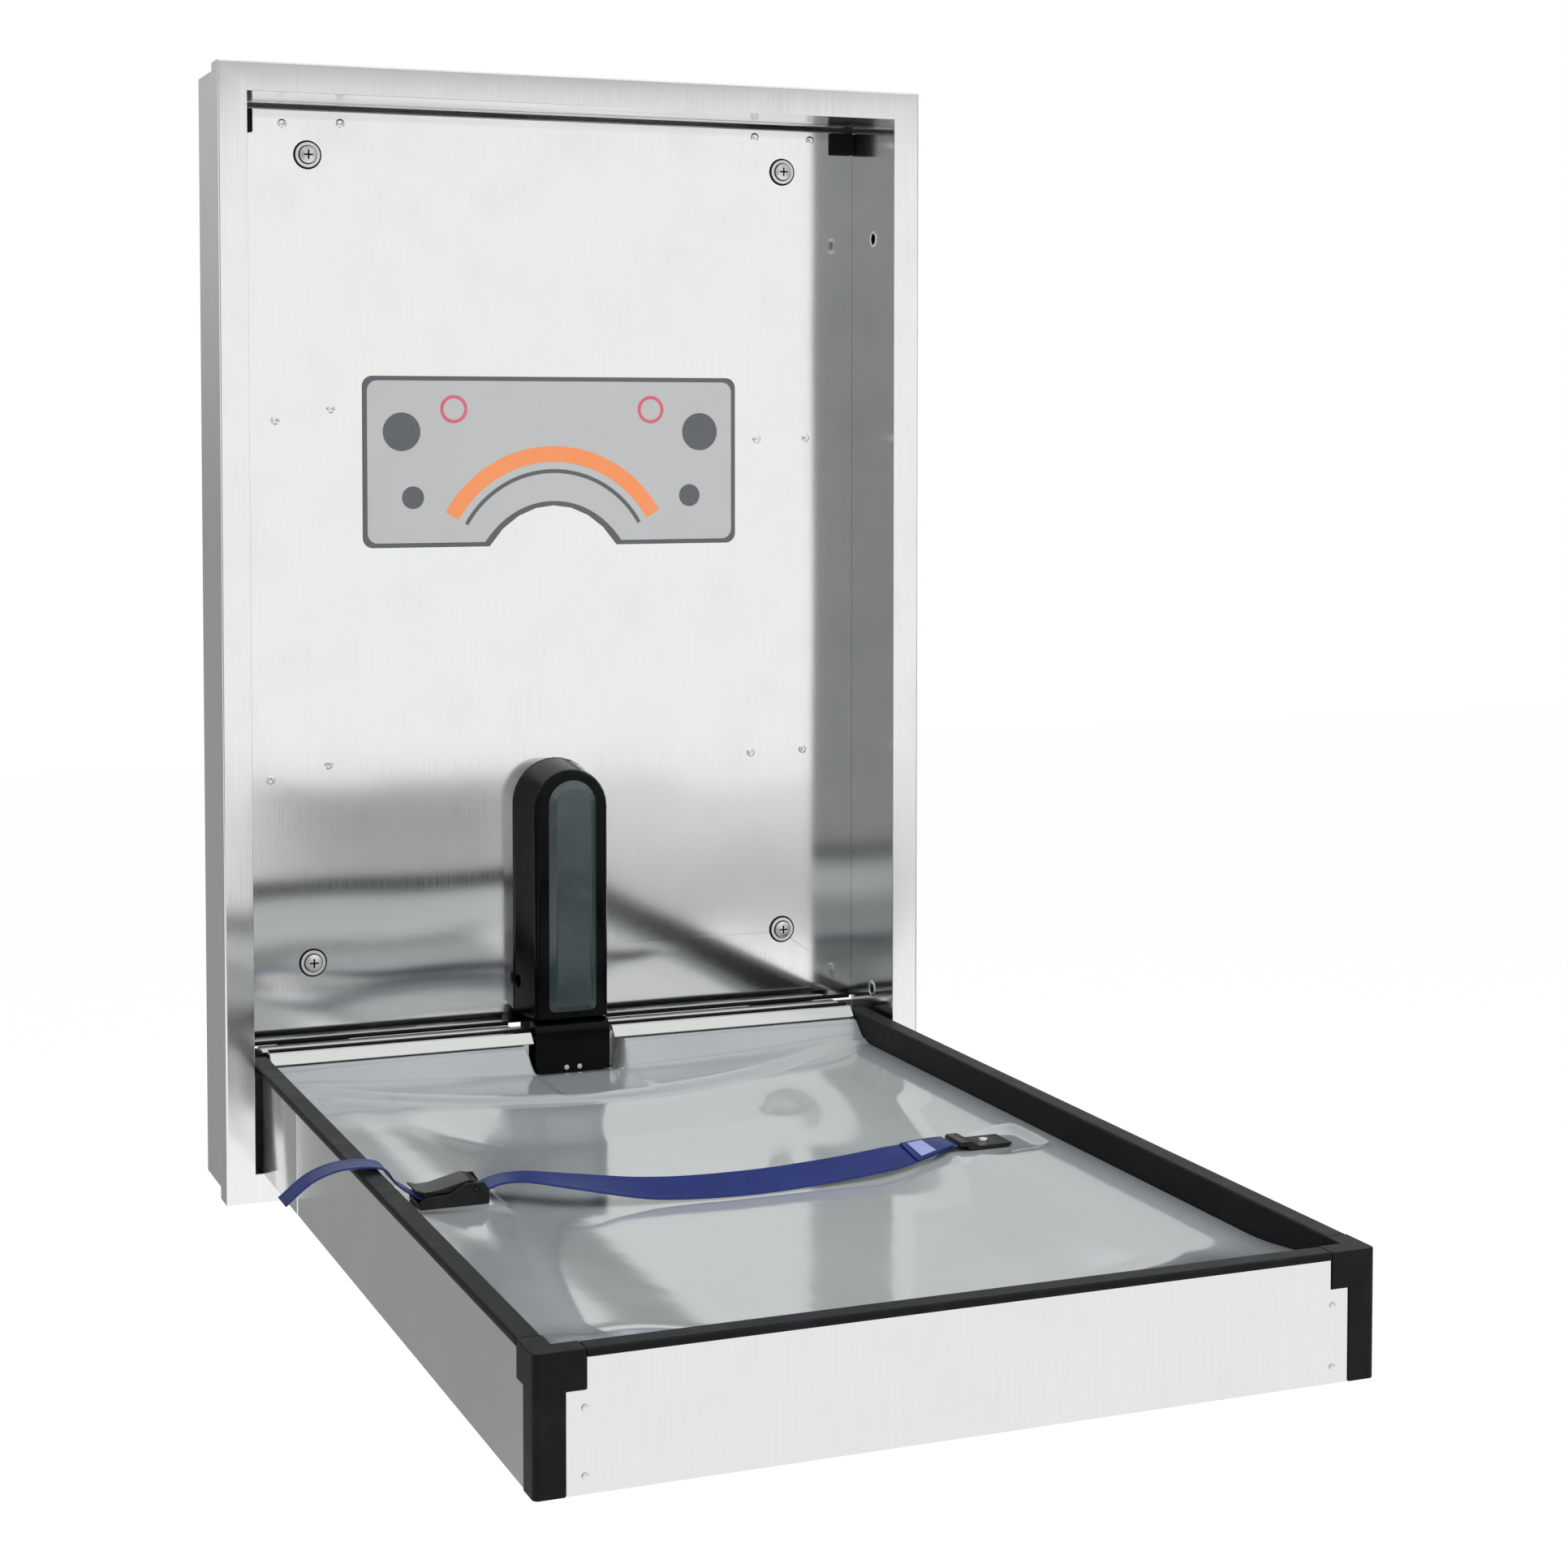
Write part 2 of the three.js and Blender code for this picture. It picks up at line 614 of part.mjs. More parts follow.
function addDamperLever() {
  const out = leverReach;
  const front = leafRearY + fit - axisY;
  const low = leverInside;
  const high = leverInside + leverCheek;
  const heel = leverFootLow - 4;
  const outline = [[front, -heel], [4, -heel], [high, 4 - leverFootHigh], [high, -6], [out + 6, out - 2],
    [out + 4, out + 4.4], [out - 2, out + 6], [out - 9, out + 3], [front, 6]];
  const place = ([y, z]) => [axisY + y, axisZ + z];
  let lever = alongX(outline.map(place), low, high).add(alongX(outline.map(place), -high, -low));
  lever = lever.add(slab([-leverFootHalf, leverFootHalf], [axisY + front, axisY + front + leverCheek],
    [axisZ - leverFootLow, axisZ - leverFootHigh]));
  lever = lever.subtract(axisRod(knuckleBore, -2 * high, 2 * high));
  lever = lever.subtract(rod("x", [0, pinY, pinZ], leverPinRadius + fit, 4 * high));
  add("damper_lever", lever, plainSteelColour);
  add("damper_lever_pin", rod("x", [0, pinY, pinZ], leverPinRadius, 2 * high + 4), zincColour);
}

// Outline of the cover: straight sides and a round top, in (x, z)
function coverOutline(half, bottom, y) {
  const arc = 16;
  const centreZ = coverTop - coverBaseHalf;
  const ring = [[half, y, bottom]];
  for (let i = 0; i <= arc; i++) {
    const a = (Math.PI * i) / arc;
    ring.push([half * Math.cos(a), y, centreZ + half * Math.sin(a)]);
  }
  ring.push([-half, y, bottom]);
  return ring;
}

function addCover() {
  const seatY = backY - fit;
  const slope = coverBaseHalf - coverFrontHalf;
  const steps = [[coverBaseHalf, seatY], [coverBaseHalf - 0.2 * slope, seatY - 4],
    [coverFrontHalf, coverFrontY + 5], [coverFrontHalf - 2, coverFrontY + 1.5],
    [coverFrontHalf - 5, coverFrontY]];
  const outer = loft(steps.map(([half, y]) => coverOutline(half, coverBottom, y)));
  const hollow = loft([[coverBaseHalf - coverWall, seatY + 1], [coverBaseHalf - coverWall, seatY - 4],
    [coverFrontHalf - coverWall, coverFrontY + coverWall]]
    .map(([half, y]) => coverOutline(half, coverBottom - 5, y)));
  const holeMiddle = [-coverBaseHalf, seatY - coverHoleFromBack, coverBottom + coverHoleAboveBottom];
  const sideHole = rod("x", holeMiddle, coverHoleRadius, 4 * coverWall);
  add("damper_cover", outer.subtract(hollow).subtract(sideHole), blackColour);

  const panelSteps = [[panelHalf, coverFrontY - fit], [panelHalf, coverFrontY - fit - 0.8],
    [panelHalf - panelBevel, coverFrontY - panelProud]];
  const lowest = [panelBottom, panelBottom, panelBottom + panelBevel];
  const shift = panelTop - panelHalf - (coverTop - coverBaseHalf);
  const rings = panelSteps.map(([half, y], i) =>
    coverOutline(half, lowest[i] - shift, y).map(([x, yy, z]) => [x, yy, z + shift]));
  add("cover_panel", loft(rings), slateColour);
}

const blockFrontY = coverFrontY;
const blockScrewX = 6;
const blockScrewZ = rim - blockBottom + 5;

function blockOutline(inset, rear) {
  const y0 = blockFrontY + inset;
  const y1 = blockFrontY + rear;
  const top = rim + blockTop - inset;
  const bottom = rim - blockBottom - (inset ? 5 : 0);
  const round = blockRound - inset;
  const points = [[y1, bottom], [y1, top]];
  const steps = 6;
  for (let i = 0; i <= steps; i++) {
    const a = Math.PI / 2 + (Math.PI / 2) * (i / steps);
    points.push([y0 + round + round * Math.cos(a), top - round + round * Math.sin(a)]);
  }
  points.push([y0, bottom]);
  return points;
}

// What lies outside a rounded lower corner of the block
function blockCornerCut(s, radius) {
  const low = rim - blockBottom;
  const centreX = s * (blockHalf - blockCorner);
  const square = slab([centreX, s * (blockHalf + 1)], [blockFrontY - 1, blockFrontY + blockDepth + 6],
    [low - 6, low + blockCorner]);
  const middle = [centreX, blockFrontY + blockDepth / 2, low + blockCorner];
  return square.subtract(rod("y", middle, radius, 2 * blockDepth, 32));
}

function addBlock() {
  let block = alongX(blockOutline(0, blockDepth), -blockHalf, blockHalf);
  const insideHalf = blockHalf - blockWall;
  let hollow = alongX(blockOutline(blockWall, blockDepth + 5), -insideHalf, insideHalf);
  for (const s of [-1, 1]) {
    block = block.subtract(blockCornerCut(s, blockCorner));
    hollow = hollow.subtract(blockCornerCut(s, blockCorner - blockWall));
  }
  block = block.subtract(hollow);
  block = block.subtract(axisRod(knuckleBore, -openHalfX, openHalfX));
  const eyeRoom = eyeHalfWidth + 2;
  block = block.subtract(slab([-eyeRoom, eyeRoom], [axisY - 3, axisY + blockDepth],
    [axisZ + 8, rim + blockTop + 5]));
  const screwRadius = 1.2;
  for (const s of [-1, 1]) {
    const hole = [s * blockScrewX, blockFrontY, blockScrewZ];
    block = block.subtract(rod("y", hole, screwRadius + fit, 4 * blockWall, 12));
  }
  add("hinge_block", block, blackColour);
  const tip = -blockWall - 3;
  const profile = [[0, tip], [screwRadius, tip], [screwRadius, 0], [2.4, 0], [2.2, 0.9], [0, 1.2]];
  for (const [side, s] of sides) {
    const place = [s * blockScrewX, blockFrontY - fit, blockScrewZ];
    add(`block_screw_${side}`, turned(profile, place, 14), zincColour);
  }
}

// Tray: folded shell, front panel, rails, bed, trim and corner caps

const capOuterX = trayHalf + capProud;
const capFrontY = trayFrontY - capProud;
const capUpperX = capOuterX - capUpperLength;
const capLowerX = capOuterX - capLowerLength;
const capUpperY = capFrontY + capUpperLength;
const capLowerY = capFrontY + capLowerLength;
const capStepZ = rim - capUpperHeight;
const sideTop = rim - trimWall - fit;
const rivetX = capLowerX - rivetInside;

function addShell() {
  const rearY = trimRearY;
  const sideOutline = [[rearY, trayBottom], [rearY, sideTop], [capUpperY + fit, sideTop],
    [capUpperY + fit, capStepZ - fit], [capLowerY + fit, capStepZ - fit], [capLowerY + fit, trayBottom]];
  let shell = slab([-trayHalf, trayHalf], [capLowerY + fit, rearY], [trayBottom, trayBottom + sheet]);
  const innerHalf = capOuterX - capWall - fit;
  shell = shell.add(slab([-innerHalf, innerHalf], [capFrontY + capWall + fit, capLowerY + 2],
    [trayBottom, trayBottom + sheet]));
  for (const s of [-1, 1]) {
    const x0 = Math.min(s * trayHalf, s * (trayHalf - sheet));
    shell = shell.add(alongX(sideOutline, x0, x0 + sheet));
  }
  add("tray_shell", shell, steelColour);
}

function addFrontPanel() {
  const low = capLowerX - fit;
  const high = capUpperX - fit;
  const outline = [[-low, trayBottom], [low, trayBottom], [low, capStepZ - fit], [high, capStepZ - fit],
    [high, sideTop], [-high, sideTop], [-high, capStepZ - fit], [-low, capStepZ - fit]];
  let panel = alongY(outline, trayFrontY, trayFrontY + sheet);
  const inside = capWall - capProud + 1;
  const profile = [[0, -inside], [rivetShank, -inside], [rivetShank, 0], [rivetRadius, 0],
    [rivetRadius * 0.8, 0.7], [0, 1]];
  for (const [side, s] of sides) {
    rivetDrops.forEach((drop, i) => {
      const place = [s * rivetX, trayFrontY - fit, rim - drop];
      panel = panel.subtract(rod("y", place, rivetShank + fit, 8 * sheet, 14));
      add(`front_rivet_${side}_${i + 1}`, turned(profile, place, 14), zincColour);
    });
  }
  add("tray_front_panel", panel, steelColour);
}

function addRails() {
  const top = rim - bedFloor - bedWall - fit - 1;
  const low = trayBottom + sheet + fit;
  const reach = trayHalf - sheet - fit - 1;
  const inner = railTopHalf - railSheet;
  for (const [name, inFront] of [["rear", railRearDistance], ["front", railFrontDistance]]) {
    const m = frontY - inFront;
    const half = [[railFootHalf, low + railSheet], [railFootHalf, low], [inner, low],
      [inner, top - railSheet]];
    const outside = [[railTopHalf, top], [railTopHalf, low + railSheet]];
    const profile = [...half.map(([y, z]) => [m + y, z]), ...half.reverse().map(([y, z]) => [m - y, z]),
      ...outside.slice().reverse().map(([y, z]) => [m - y, z]), ...outside.map(([y, z]) => [m + y, z])];
    add(`bed_rail_${name}`, alongX(profile, -reach, reach), plainSteelColour);
  }
}

const crescentHalf = bedHalf - crescentInset;
const bedFrontEdge = -trayReach - capProud + trimWidth + bedGap;
const bedRearEdge = leafRearY - leafSheet - fit - frontY;
const stripFront = leafFrontY - frontY;

// Depth of the moulded bed below the rim at a point, y from the frame's front
function bedDepth(x, y) {
  const ax = Math.abs(x);
  const band = bedEdge + (bedBand - bedEdge) * smooth((bedHalf - ax) / 55);
  let depth = band + (bedFloor - bedBand) * smooth((bedHalf - 51 - ax) / 110);
  depth = bedFront + (depth - bedFront) * smooth((y - bedFrontEdge) / 110);
  const bow = Math.min(1, (ax / crescentHalf) ** 2);
  const onLedge = y - crescentReach * (bow - 1) - 6 * bow;
  const foot = ledgeFoot - ledgeFall * bow;
  depth += Math.min(0, foot - depth) * smooth(onLedge / ledgeSlope + 1);
  depth += Math.min(0, foot - ledgeStep - depth) * smooth((onLedge + 3) / ledgeStepReach);
  depth += (ledgeDrop - depth) * smooth((y - stripFront) / ledgeRear + 1);
  const pad = smooth((padHalf + 6 - Math.abs(y - strapY)) / 6) * smooth((ax - padInner + 6) / 6)
    * smooth((padOuter + 6 - ax) / 6);
  depth += (padDepth - depth) * pad;
  const floor = pocketFloor - Math.min(pocketRise, pocketSlope * Math.max(0, pocketFlat - y));
  const side = smooth((notchHalf + pocketWall - ax) / pocketWall);
  return y < -pocketReach ? depth : depth + Math.max(0, floor - depth) * side;
}

function addBed() {
  const extraX = [notchHalf, notchHalf + pocketWall / 2, notchHalf + pocketWall, padInner - 6, padInner,
    padOuter, padOuter + 6];
  const right = linesBetween(0, bedHalf, 22, extraX);
  const xs = [...right.slice(1).reverse().map((x) => -x), ...right];
  const ledgeLines = [-1.2, -1.05, -0.95, -0.86, -0.76, -0.62, -0.48, -0.34, -0.2, -0.06, 0.06];
  const extraY = [strapY - padHalf - 6, strapY - padHalf, strapY + padHalf, strapY + padHalf + 6, stripFront,
    pocketFlat, pocketFlat - pocketRise / pocketSlope, stripFront - ledgeRear / 4,
    stripFront - ledgeRear / 2, stripFront - 3 * ledgeRear / 4, stripFront - ledgeRear,
    ...ledgeLines.map((share) => share * crescentReach)];
  const ys = linesBetween(bedFrontEdge, bedRearEdge, 38, extraY);
  const top = [];
  for (const y of ys) {
    for (const x of xs) top.push([x, frontY + y, rim - bedDepth(x, y)]);
  }
  const points = [...top, ...top.map(([x, y, z]) => [x, y, z - bedWall])];
  const n = xs.length;
  const under = top.length;
  const faces = [];
  const quad = (a, b, c, d) => faces.push(a, b, c, a, c, d);
  for (let j = 0; j + 1 < ys.length; j++) {
    for (let i = 0; i + 1 < n; i++) {
      const a = j * n + i;
      quad(a, a + 1, a + n + 1, a + n);
      quad(under + a, under + a + n, under + a + n + 1, under + a + 1);
    }
  }
  const last = (ys.length - 1) * n;
  for (let i = 0; i + 1 < n; i++) {
    quad(i, under + i, under + i + 1, i + 1);
    quad(last + i, last + i + 1, under + last + i + 1, under + last + i);
  }
  for (let j = 0; j + 1 < ys.length; j++) {
    const a = j * n;
    const b = a + n - 1;
    quad(a, a + n, under + a + n, under + a);
    quad(b, under + b, under + b + n, b + n);
  }
  const made = new THREE.BufferGeometry();
  made.setAttribute("position", new THREE.Float32BufferAttribute(points.flat(), 3));
  made.setIndex(faces);
  let bed = solid(made);
  for (const x of [anchorScrewX, buckleLeft + buckleScrewFromLeft]) {
    bed = bed.subtract(rod("z", [x, strapRowY, rim - padDepth], screwSmallShank + fit, 20, 16));
  }
  add("moulded_bed", bed, bedColour);
}

function addTrim() {
  const outer = trayHalf + trimProud;
  const shoulder = rim - trimChamfer;
  const profile = [[outer, rim - trimLip], [outer, shoulder], [outer - trimChamfer, rim],
    [trimInnerX + trimChamfer, rim], [trimInnerX, shoulder], [trimInnerX, rim - trimInner],
    [trimInnerX + trimWall, rim - trimInner], [trimInnerX + trimWall, rim - trimWall],
    [trayHalf + fit, rim - trimWall], [trayHalf + fit, rim - trimLip]];
  for (const [side, s] of sides) {
    const mirrored = profile.map(([x, z]) => [s * x, z]);
    add(`edge_trim_${side}`, alongY(mirrored, capUpperY + fit, trimRearY), blackColour);
  }
  const frontOuter = trayFrontY - trimProud;
  const inner = frontOuter + trimWidth;
  const frontProfile = [[frontOuter, rim - trimLip], [frontOuter, shoulder],
    [frontOuter + trimChamfer, rim], [inner - trimChamfer, rim], [inner, shoulder],
    [inner, rim - trimInner], [inner - trimWall, rim - trimInner], [inner - trimWall, rim - trimWall],
    [trayFrontY - fit, rim - trimWall], [trayFrontY - fit, rim - trimLip]];
  add("edge_trim_front", alongX(frontProfile, -capUpperX + fit, capUpperX - fit), blackColour);
}

function addCaps() {
  const innerX = trimInnerX;
  const innerY = trayFrontY - trimProud + trimWidth;
  for (const [side, s] of sides) {
    const across = (a, b) => [s * a, s * b];
    const top = [rim - trimWall, rim];
    const upper = [capStepZ, rim];
    const full = [trayBottom, rim];
    let cap = join(
      slab(across(capUpperX, capOuterX), [capFrontY, innerY], top),
      slab(across(innerX, capOuterX), [capFrontY, capUpperY], top),
      slab(across(capUpperX, capOuterX), [capFrontY, capFrontY + capWall], upper),
      slab(across(capOuterX - capWall, capOuterX), [capFrontY, capUpperY], upper),
      slab(across(capLowerX, capOuterX), [capFrontY, capFrontY + capWall], full),
      slab(across(capOuterX - capWall, capOuterX), [capFrontY, capLowerY], full),
      slab(across(capUpperX, innerX), [innerY - trimWall, innerY], [rim - trimInner, rim]),
      slab(across(innerX, innerX + trimWall), [innerY - trimWall, capUpperY], [rim - trimInner, rim]),
      slab(across(capLowerX - 26, capOuterX - 1), [capFrontY + capWall - 0.5, capFrontY + capWall + 1.5],
        [trayBottom + 6, capStepZ - 6]),
    );
    const roundX = capOuterX - capRound;
    const roundY = capFrontY + capRound;
    const edge = slab(across(roundX, capOuterX + 1), [capFrontY - 1, roundY], [trayBottom - 1, rim + 1]);
    const upright = rod("z", [s * roundX, roundY, (trayBottom + rim) / 2], capRound, 2 * trayThickness, 32);
    cap = cap.subtract(edge.subtract(upright));
    for (const drop of rivetDrops) {
      cap = cap.subtract(rod("y", [s * rivetX, trayFrontY, rim - drop], rivetShank + fit, 4 * capWall, 14));
    }
    add(`corner_cap_${side}`, cap, blackColour);
  }
}

// Strap: anchor, webbing, buckle with its lever, loose tail

// Ribbon along points of [x, shift to the room, height above the rim, roll in degrees]
// A positive roll lowers the edge nearer the room.
function ribbon(points) {
  const places = points.map(([x, shift, height]) => new THREE.Vector3(x, strapRowY - shift, rim + height));
  const curve = new THREE.CatmullRomCurve3(places);
  const spans = points.length - 1;
  const steps = spans * 4;
  const rings = [];
  for (let i = 0; i <= steps; i++) {
    const at = (i / steps) * spans;
    const low = Math.min(Math.floor(at), spans - 1);
    const roll = THREE.MathUtils.degToRad(THREE.MathUtils.lerp(points[low][3], points[low + 1][3], at - low));
    const centre = curve.getPoint(i / steps);
    const along = curve.getTangent(i / steps);
    const flat = new THREE.Vector3(0, 1, 0).addScaledVector(along, -along.y).normalize();
    const up = new THREE.Vector3().crossVectors(flat, along);
    const across = flat.clone().multiplyScalar(Math.cos(roll)).addScaledVector(up, Math.sin(roll));
    const face = up.multiplyScalar(Math.cos(roll)).addScaledVector(flat, -Math.sin(roll));
    const corner = (u, w) => centre.clone().addScaledVector(face, (u * strapThick) / 2)
      .addScaledVector(across, (w * strapWidth) / 2).toArray();
    rings.push([corner(1, 1), corner(-1, 1), corner(-1, -1), corner(1, -1)]);
  }
  return loft(rings);
}

const webbingInBuckle = buckleBase + 2.2 - padDepth;
const webbingSpan = anchorStart - buckleRight;
const alongWebbing = (share) => buckleRight + share * webbingSpan;
const webbingRoute = [[anchorStart - 1.8, 0, -25.6, 0], [anchorStart - 12, 0, -26, 6],
  [alongWebbing(0.85), 9, -30, 30], [alongWebbing(0.67), 17, -33.2, 32], [alongWebbing(0.5), 20, -34, 32],
  [alongWebbing(0.33), 13, -32.5, 28], [alongWebbing(0.18), 4, -24, 14], [alongWebbing(0.075), 0, -17.5, 4],
  [buckleRight + 10, 0, -18, 0], [buckleRight - 2, 0, webbingInBuckle + 3, 0],
  [buckleLeft + strapSplit + 4, 0, webbingInBuckle + 0.4, 0],
  [buckleLeft + strapSplit, 0, webbingInBuckle, 0]];
const tailRoute = [[buckleLeft + strapSplit - 2 * fit, 0, webbingInBuckle, 0],
  [buckleLeft + strapSplit / 2, 0, webbingInBuckle, 0], [buckleLeft + 6, 0, webbingInBuckle, 0],
  [buckleLeft - 7, 0, webbingInBuckle + 7, 0], [-bedHalf + 10, 0, -9.5, 0], [-bedHalf + 2.5, 0, 0.6, 0],
  [-bedHalf - 5.5, 0, tailRise - 1, 0], [-bedHalf - 19, 0, tailRise, 0],
  [-trayHalf - 0.31 * tailReach, 0, 0.8 * tailRise, 0], [-trayHalf - 0.64 * tailReach, 0, -tailDrop / 6, 0],
  [-trayHalf - tailReach, 0, -tailDrop, 0]];

function addStrap() {
  add("strap_webbing", ribbon(webbingRoute), strapColour);
  add("strap_tail", ribbon(tailRoute), strapColour);
}

function smallScrew(x, topZ) {
  const profile = [[0, -13], [screwSmallShank, -11], [screwSmallShank, 0], [screwSmall, 0],
    [screwSmall * 0.9, 1.3], [0, 2]];
  const made = new THREE.LatheGeometry(profile.map(([r, h]) => new THREE.Vector2(r, h)), 18);
  made.rotateX(Math.PI / 2);
  made.translate(x, strapRowY, topZ);
  return solid(made);
}

function addAnchor() {
  const plateTop = buckleFloor + 3.4;
  const half = strapWidth / 2 + 1.5;
  const low = buckleFloor;
  const outline = [[anchorStart + 8, low], [anchorEnd, low], [anchorEnd, plateTop - 1],
    [anchorEnd - 2, plateTop], [anchorStart + 16, plateTop],
    [anchorStart + 9, plateTop + 4], [anchorStart, plateTop + 4],
    [anchorStart - 1.5, plateTop + 2], [anchorStart, plateTop], [anchorStart + 5, plateTop]];
  let anchor = alongY(outline, strapRowY - half, strapRowY + half);
  anchor = anchor.subtract(rod("z", [anchorScrewX, strapRowY, low], screwSmallShank + fit, 20, 16));
  add("strap_anchor", anchor, blackColour);
  add("strap_anchor_screw", smallScrew(anchorScrewX, plateTop + fit), zincColour);
}

function addBuckle() {
  const at = ([x, z]) => [buckleLeft + x, buckleFloor + z];
  const cheek = [[0, 0], [buckleLength, 0], [buckleLength, 10], [buckleLength - 4, 16], [34, 16], [22, 9.5],
    [4, 8], [0, 6]].map(at);
  let base = slab([buckleLeft, buckleRight], [strapRowY - buckleHalf, strapRowY + buckleHalf],
    [buckleFloor, buckleFloor + buckleBase]);
  for (const s of [-1, 1]) {
    const edge = [strapRowY + s * (buckleHalf - cheekWall), strapRowY + s * buckleHalf];
    base = base.add(alongY(cheek, Math.min(...edge), Math.max(...edge)));
  }
  const pivot = [buckleLeft + leverPivotX, strapRowY, buckleFloor + leverPivotZ];
  base = base.subtract(rod("y", pivot, leverPivotRadius + fit, 4 * buckleHalf, 16));
  const screwX = buckleLeft + buckleScrewFromLeft;
  base = base.subtract(rod("z", [screwX, strapRowY, buckleFloor], screwSmall + fit, 4 * buckleBase, 18));
  const seat = slab([screwX - screwSmall - 1, screwX + screwSmall + 1], [strapRowY - screwSmall - 1,
    strapRowY + screwSmall + 1], [buckleFloor, buckleFloor + 0.8])
    .subtract(rod("z", [screwX, strapRowY, buckleFloor], screwSmallShank + fit, 4, 18));
  add("buckle_base", base.add(seat), blackColour);
  add("buckle_screw", smallScrew(screwX, buckleFloor + 0.8 + fit), zincColour);

  const leverHalf = buckleHalf - cheekWall - fit;
  const leverOutline = [[leverPivotX - 4, leverPivotZ - 3.4], [leverPivotX + 2, leverPivotZ - 3.6],
    [leverPivotX + 4.5, leverPivotZ], [leverPivotX + 3, leverPivotZ + 4],
    [leverPivotX - 4, leverPivotZ + 6.5],
    [14, 12.2], [4, 11.6], [-2, 13.6], [-3, 12.4], [4, 9.6], [20, 9.4]].map(at);
  let lever = alongY(leverOutline, strapRowY - leverHalf, strapRowY + leverHalf);
  lever = lever.subtract(rod("y", pivot, leverPivotRadius + fit, 4 * buckleHalf, 16));
  add("buckle_lever", lever, blackColour);
  add("buckle_pin", rod("y", pivot, leverPivotRadius, 2 * buckleHalf, 16), zincColour);
}

addCase();
addSleeve();
addFaceFrame();
addBackPanel();
addChannels();
addMountingScrews();
addGuidePlate();
addBumpers();
addHingeBase();
addHingePin();
addTrayLeaf();
addDamper();
addDamperLever();
addCover();
addBlock();
addShell();
addFrontPanel();
addRails();
addBed();
addTrim();
addCaps();
addStrap();
addAnchor();
addBuckle();

export default station;
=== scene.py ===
# %% [markdown]
# # A wall-hung changing station
# The real thing is a stainless steel cabinet with a tray that folds down out of it. The tray holds a
# moulded grey bed, a blue strap with a cam buckle, and black plastic edge trim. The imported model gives
# every piece's place in metres, so this lesson only dresses it: finer shapes, real finishes and light.

# %% Load the fixed frame
import json
import math

import bmesh
import bpy
from mathutils import Matrix, Vector, noise

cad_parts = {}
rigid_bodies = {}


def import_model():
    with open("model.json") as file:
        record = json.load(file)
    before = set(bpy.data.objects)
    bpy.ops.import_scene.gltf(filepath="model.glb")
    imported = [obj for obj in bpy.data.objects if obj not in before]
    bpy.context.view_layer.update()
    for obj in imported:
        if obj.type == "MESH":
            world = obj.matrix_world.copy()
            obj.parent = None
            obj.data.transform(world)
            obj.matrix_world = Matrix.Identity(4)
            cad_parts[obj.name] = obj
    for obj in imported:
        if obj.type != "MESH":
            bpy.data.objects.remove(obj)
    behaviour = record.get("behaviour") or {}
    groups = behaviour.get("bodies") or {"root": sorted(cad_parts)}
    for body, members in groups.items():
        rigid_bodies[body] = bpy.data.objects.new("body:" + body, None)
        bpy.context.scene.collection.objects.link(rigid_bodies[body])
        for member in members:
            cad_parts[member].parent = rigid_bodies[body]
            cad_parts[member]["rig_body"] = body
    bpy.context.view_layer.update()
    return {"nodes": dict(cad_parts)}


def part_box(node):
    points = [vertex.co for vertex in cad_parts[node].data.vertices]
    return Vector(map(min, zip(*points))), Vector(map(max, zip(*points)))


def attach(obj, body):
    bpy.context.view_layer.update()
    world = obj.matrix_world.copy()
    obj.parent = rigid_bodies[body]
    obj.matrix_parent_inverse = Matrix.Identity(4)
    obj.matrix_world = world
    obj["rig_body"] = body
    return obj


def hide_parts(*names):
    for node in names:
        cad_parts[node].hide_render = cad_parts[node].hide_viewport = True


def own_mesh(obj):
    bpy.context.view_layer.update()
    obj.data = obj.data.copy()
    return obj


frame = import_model()
print("pieces in the packed model:", len(frame["nodes"]))

# %% [markdown]
# ## Camera
# The view was worked out from the cabinet's corners: the lens stands left of the cabinet, a little above
# the tray, and looks slightly down. A shifted lens keeps the cabinet's upright edges upright, as in the
# picture. Blender wants the camera's right, up and back directions, so three turns, in radians, are
# multiplied out.

# %% Camera
IMAGE_SIDE = 1932
FOCAL_PIXELS = 3357.83
CENTRE_PIXEL = (875.69, 680.0)
CAMERA_PLACE = Vector((-0.75221, -2.34359, 0.16799))
LOOK_DOWN = 0.0433
LEAN = -0.0008
LOOK_RIGHT = 0.3696
SENSOR_WIDTH = 36


def add_object(name, data):
    made = bpy.data.objects.new(name, data)
    bpy.context.scene.collection.objects.link(made)
    return made


upright_to_picture = Matrix(((1, 0, 0), (0, 0, -1), (0, 1, 0)))
turns = (Matrix.Rotation(LEAN, 3, "Z") @ Matrix.Rotation(LOOK_DOWN, 3, "X") @ upright_to_picture
         @ Matrix.Rotation(LOOK_RIGHT, 3, "Z"))
right, down, ahead = turns

camera_data = bpy.data.cameras.new("camera")
camera_data.sensor_width = SENSOR_WIDTH
camera_data.lens = FOCAL_PIXELS / IMAGE_SIDE * SENSOR_WIDTH
camera_data.shift_x = (IMAGE_SIDE / 2 - CENTRE_PIXEL[0]) / IMAGE_SIDE
camera_data.shift_y = (CENTRE_PIXEL[1] - IMAGE_SIDE / 2) / IMAGE_SIDE
camera = add_object("camera", camera_data)
axes = Matrix((right, -down, -ahead)).transposed()
camera.matrix_world = Matrix.Translation(CAMERA_PLACE) @ axes.to_4x4()
bpy.context.scene.camera = camera
print("lens", round(camera_data.lens, 2), "mm, shift", round(camera_data.shift_y, 3))

# %% [markdown]
# ## Colours and shader nodes
# Finishes are written as the hex colours a designer would pick. Blender's shaders want linear light, so
# one function turns one into the other. A second small function adds a shader node: it takes the node's
# settings as keywords and its inputs as a dictionary. There an input is a number, another node's output,
# or a node, which stands for its first output. Two more empty a node tree and start a material: the
# finishes below read their textures by place on the object, so that output is handed out with it.

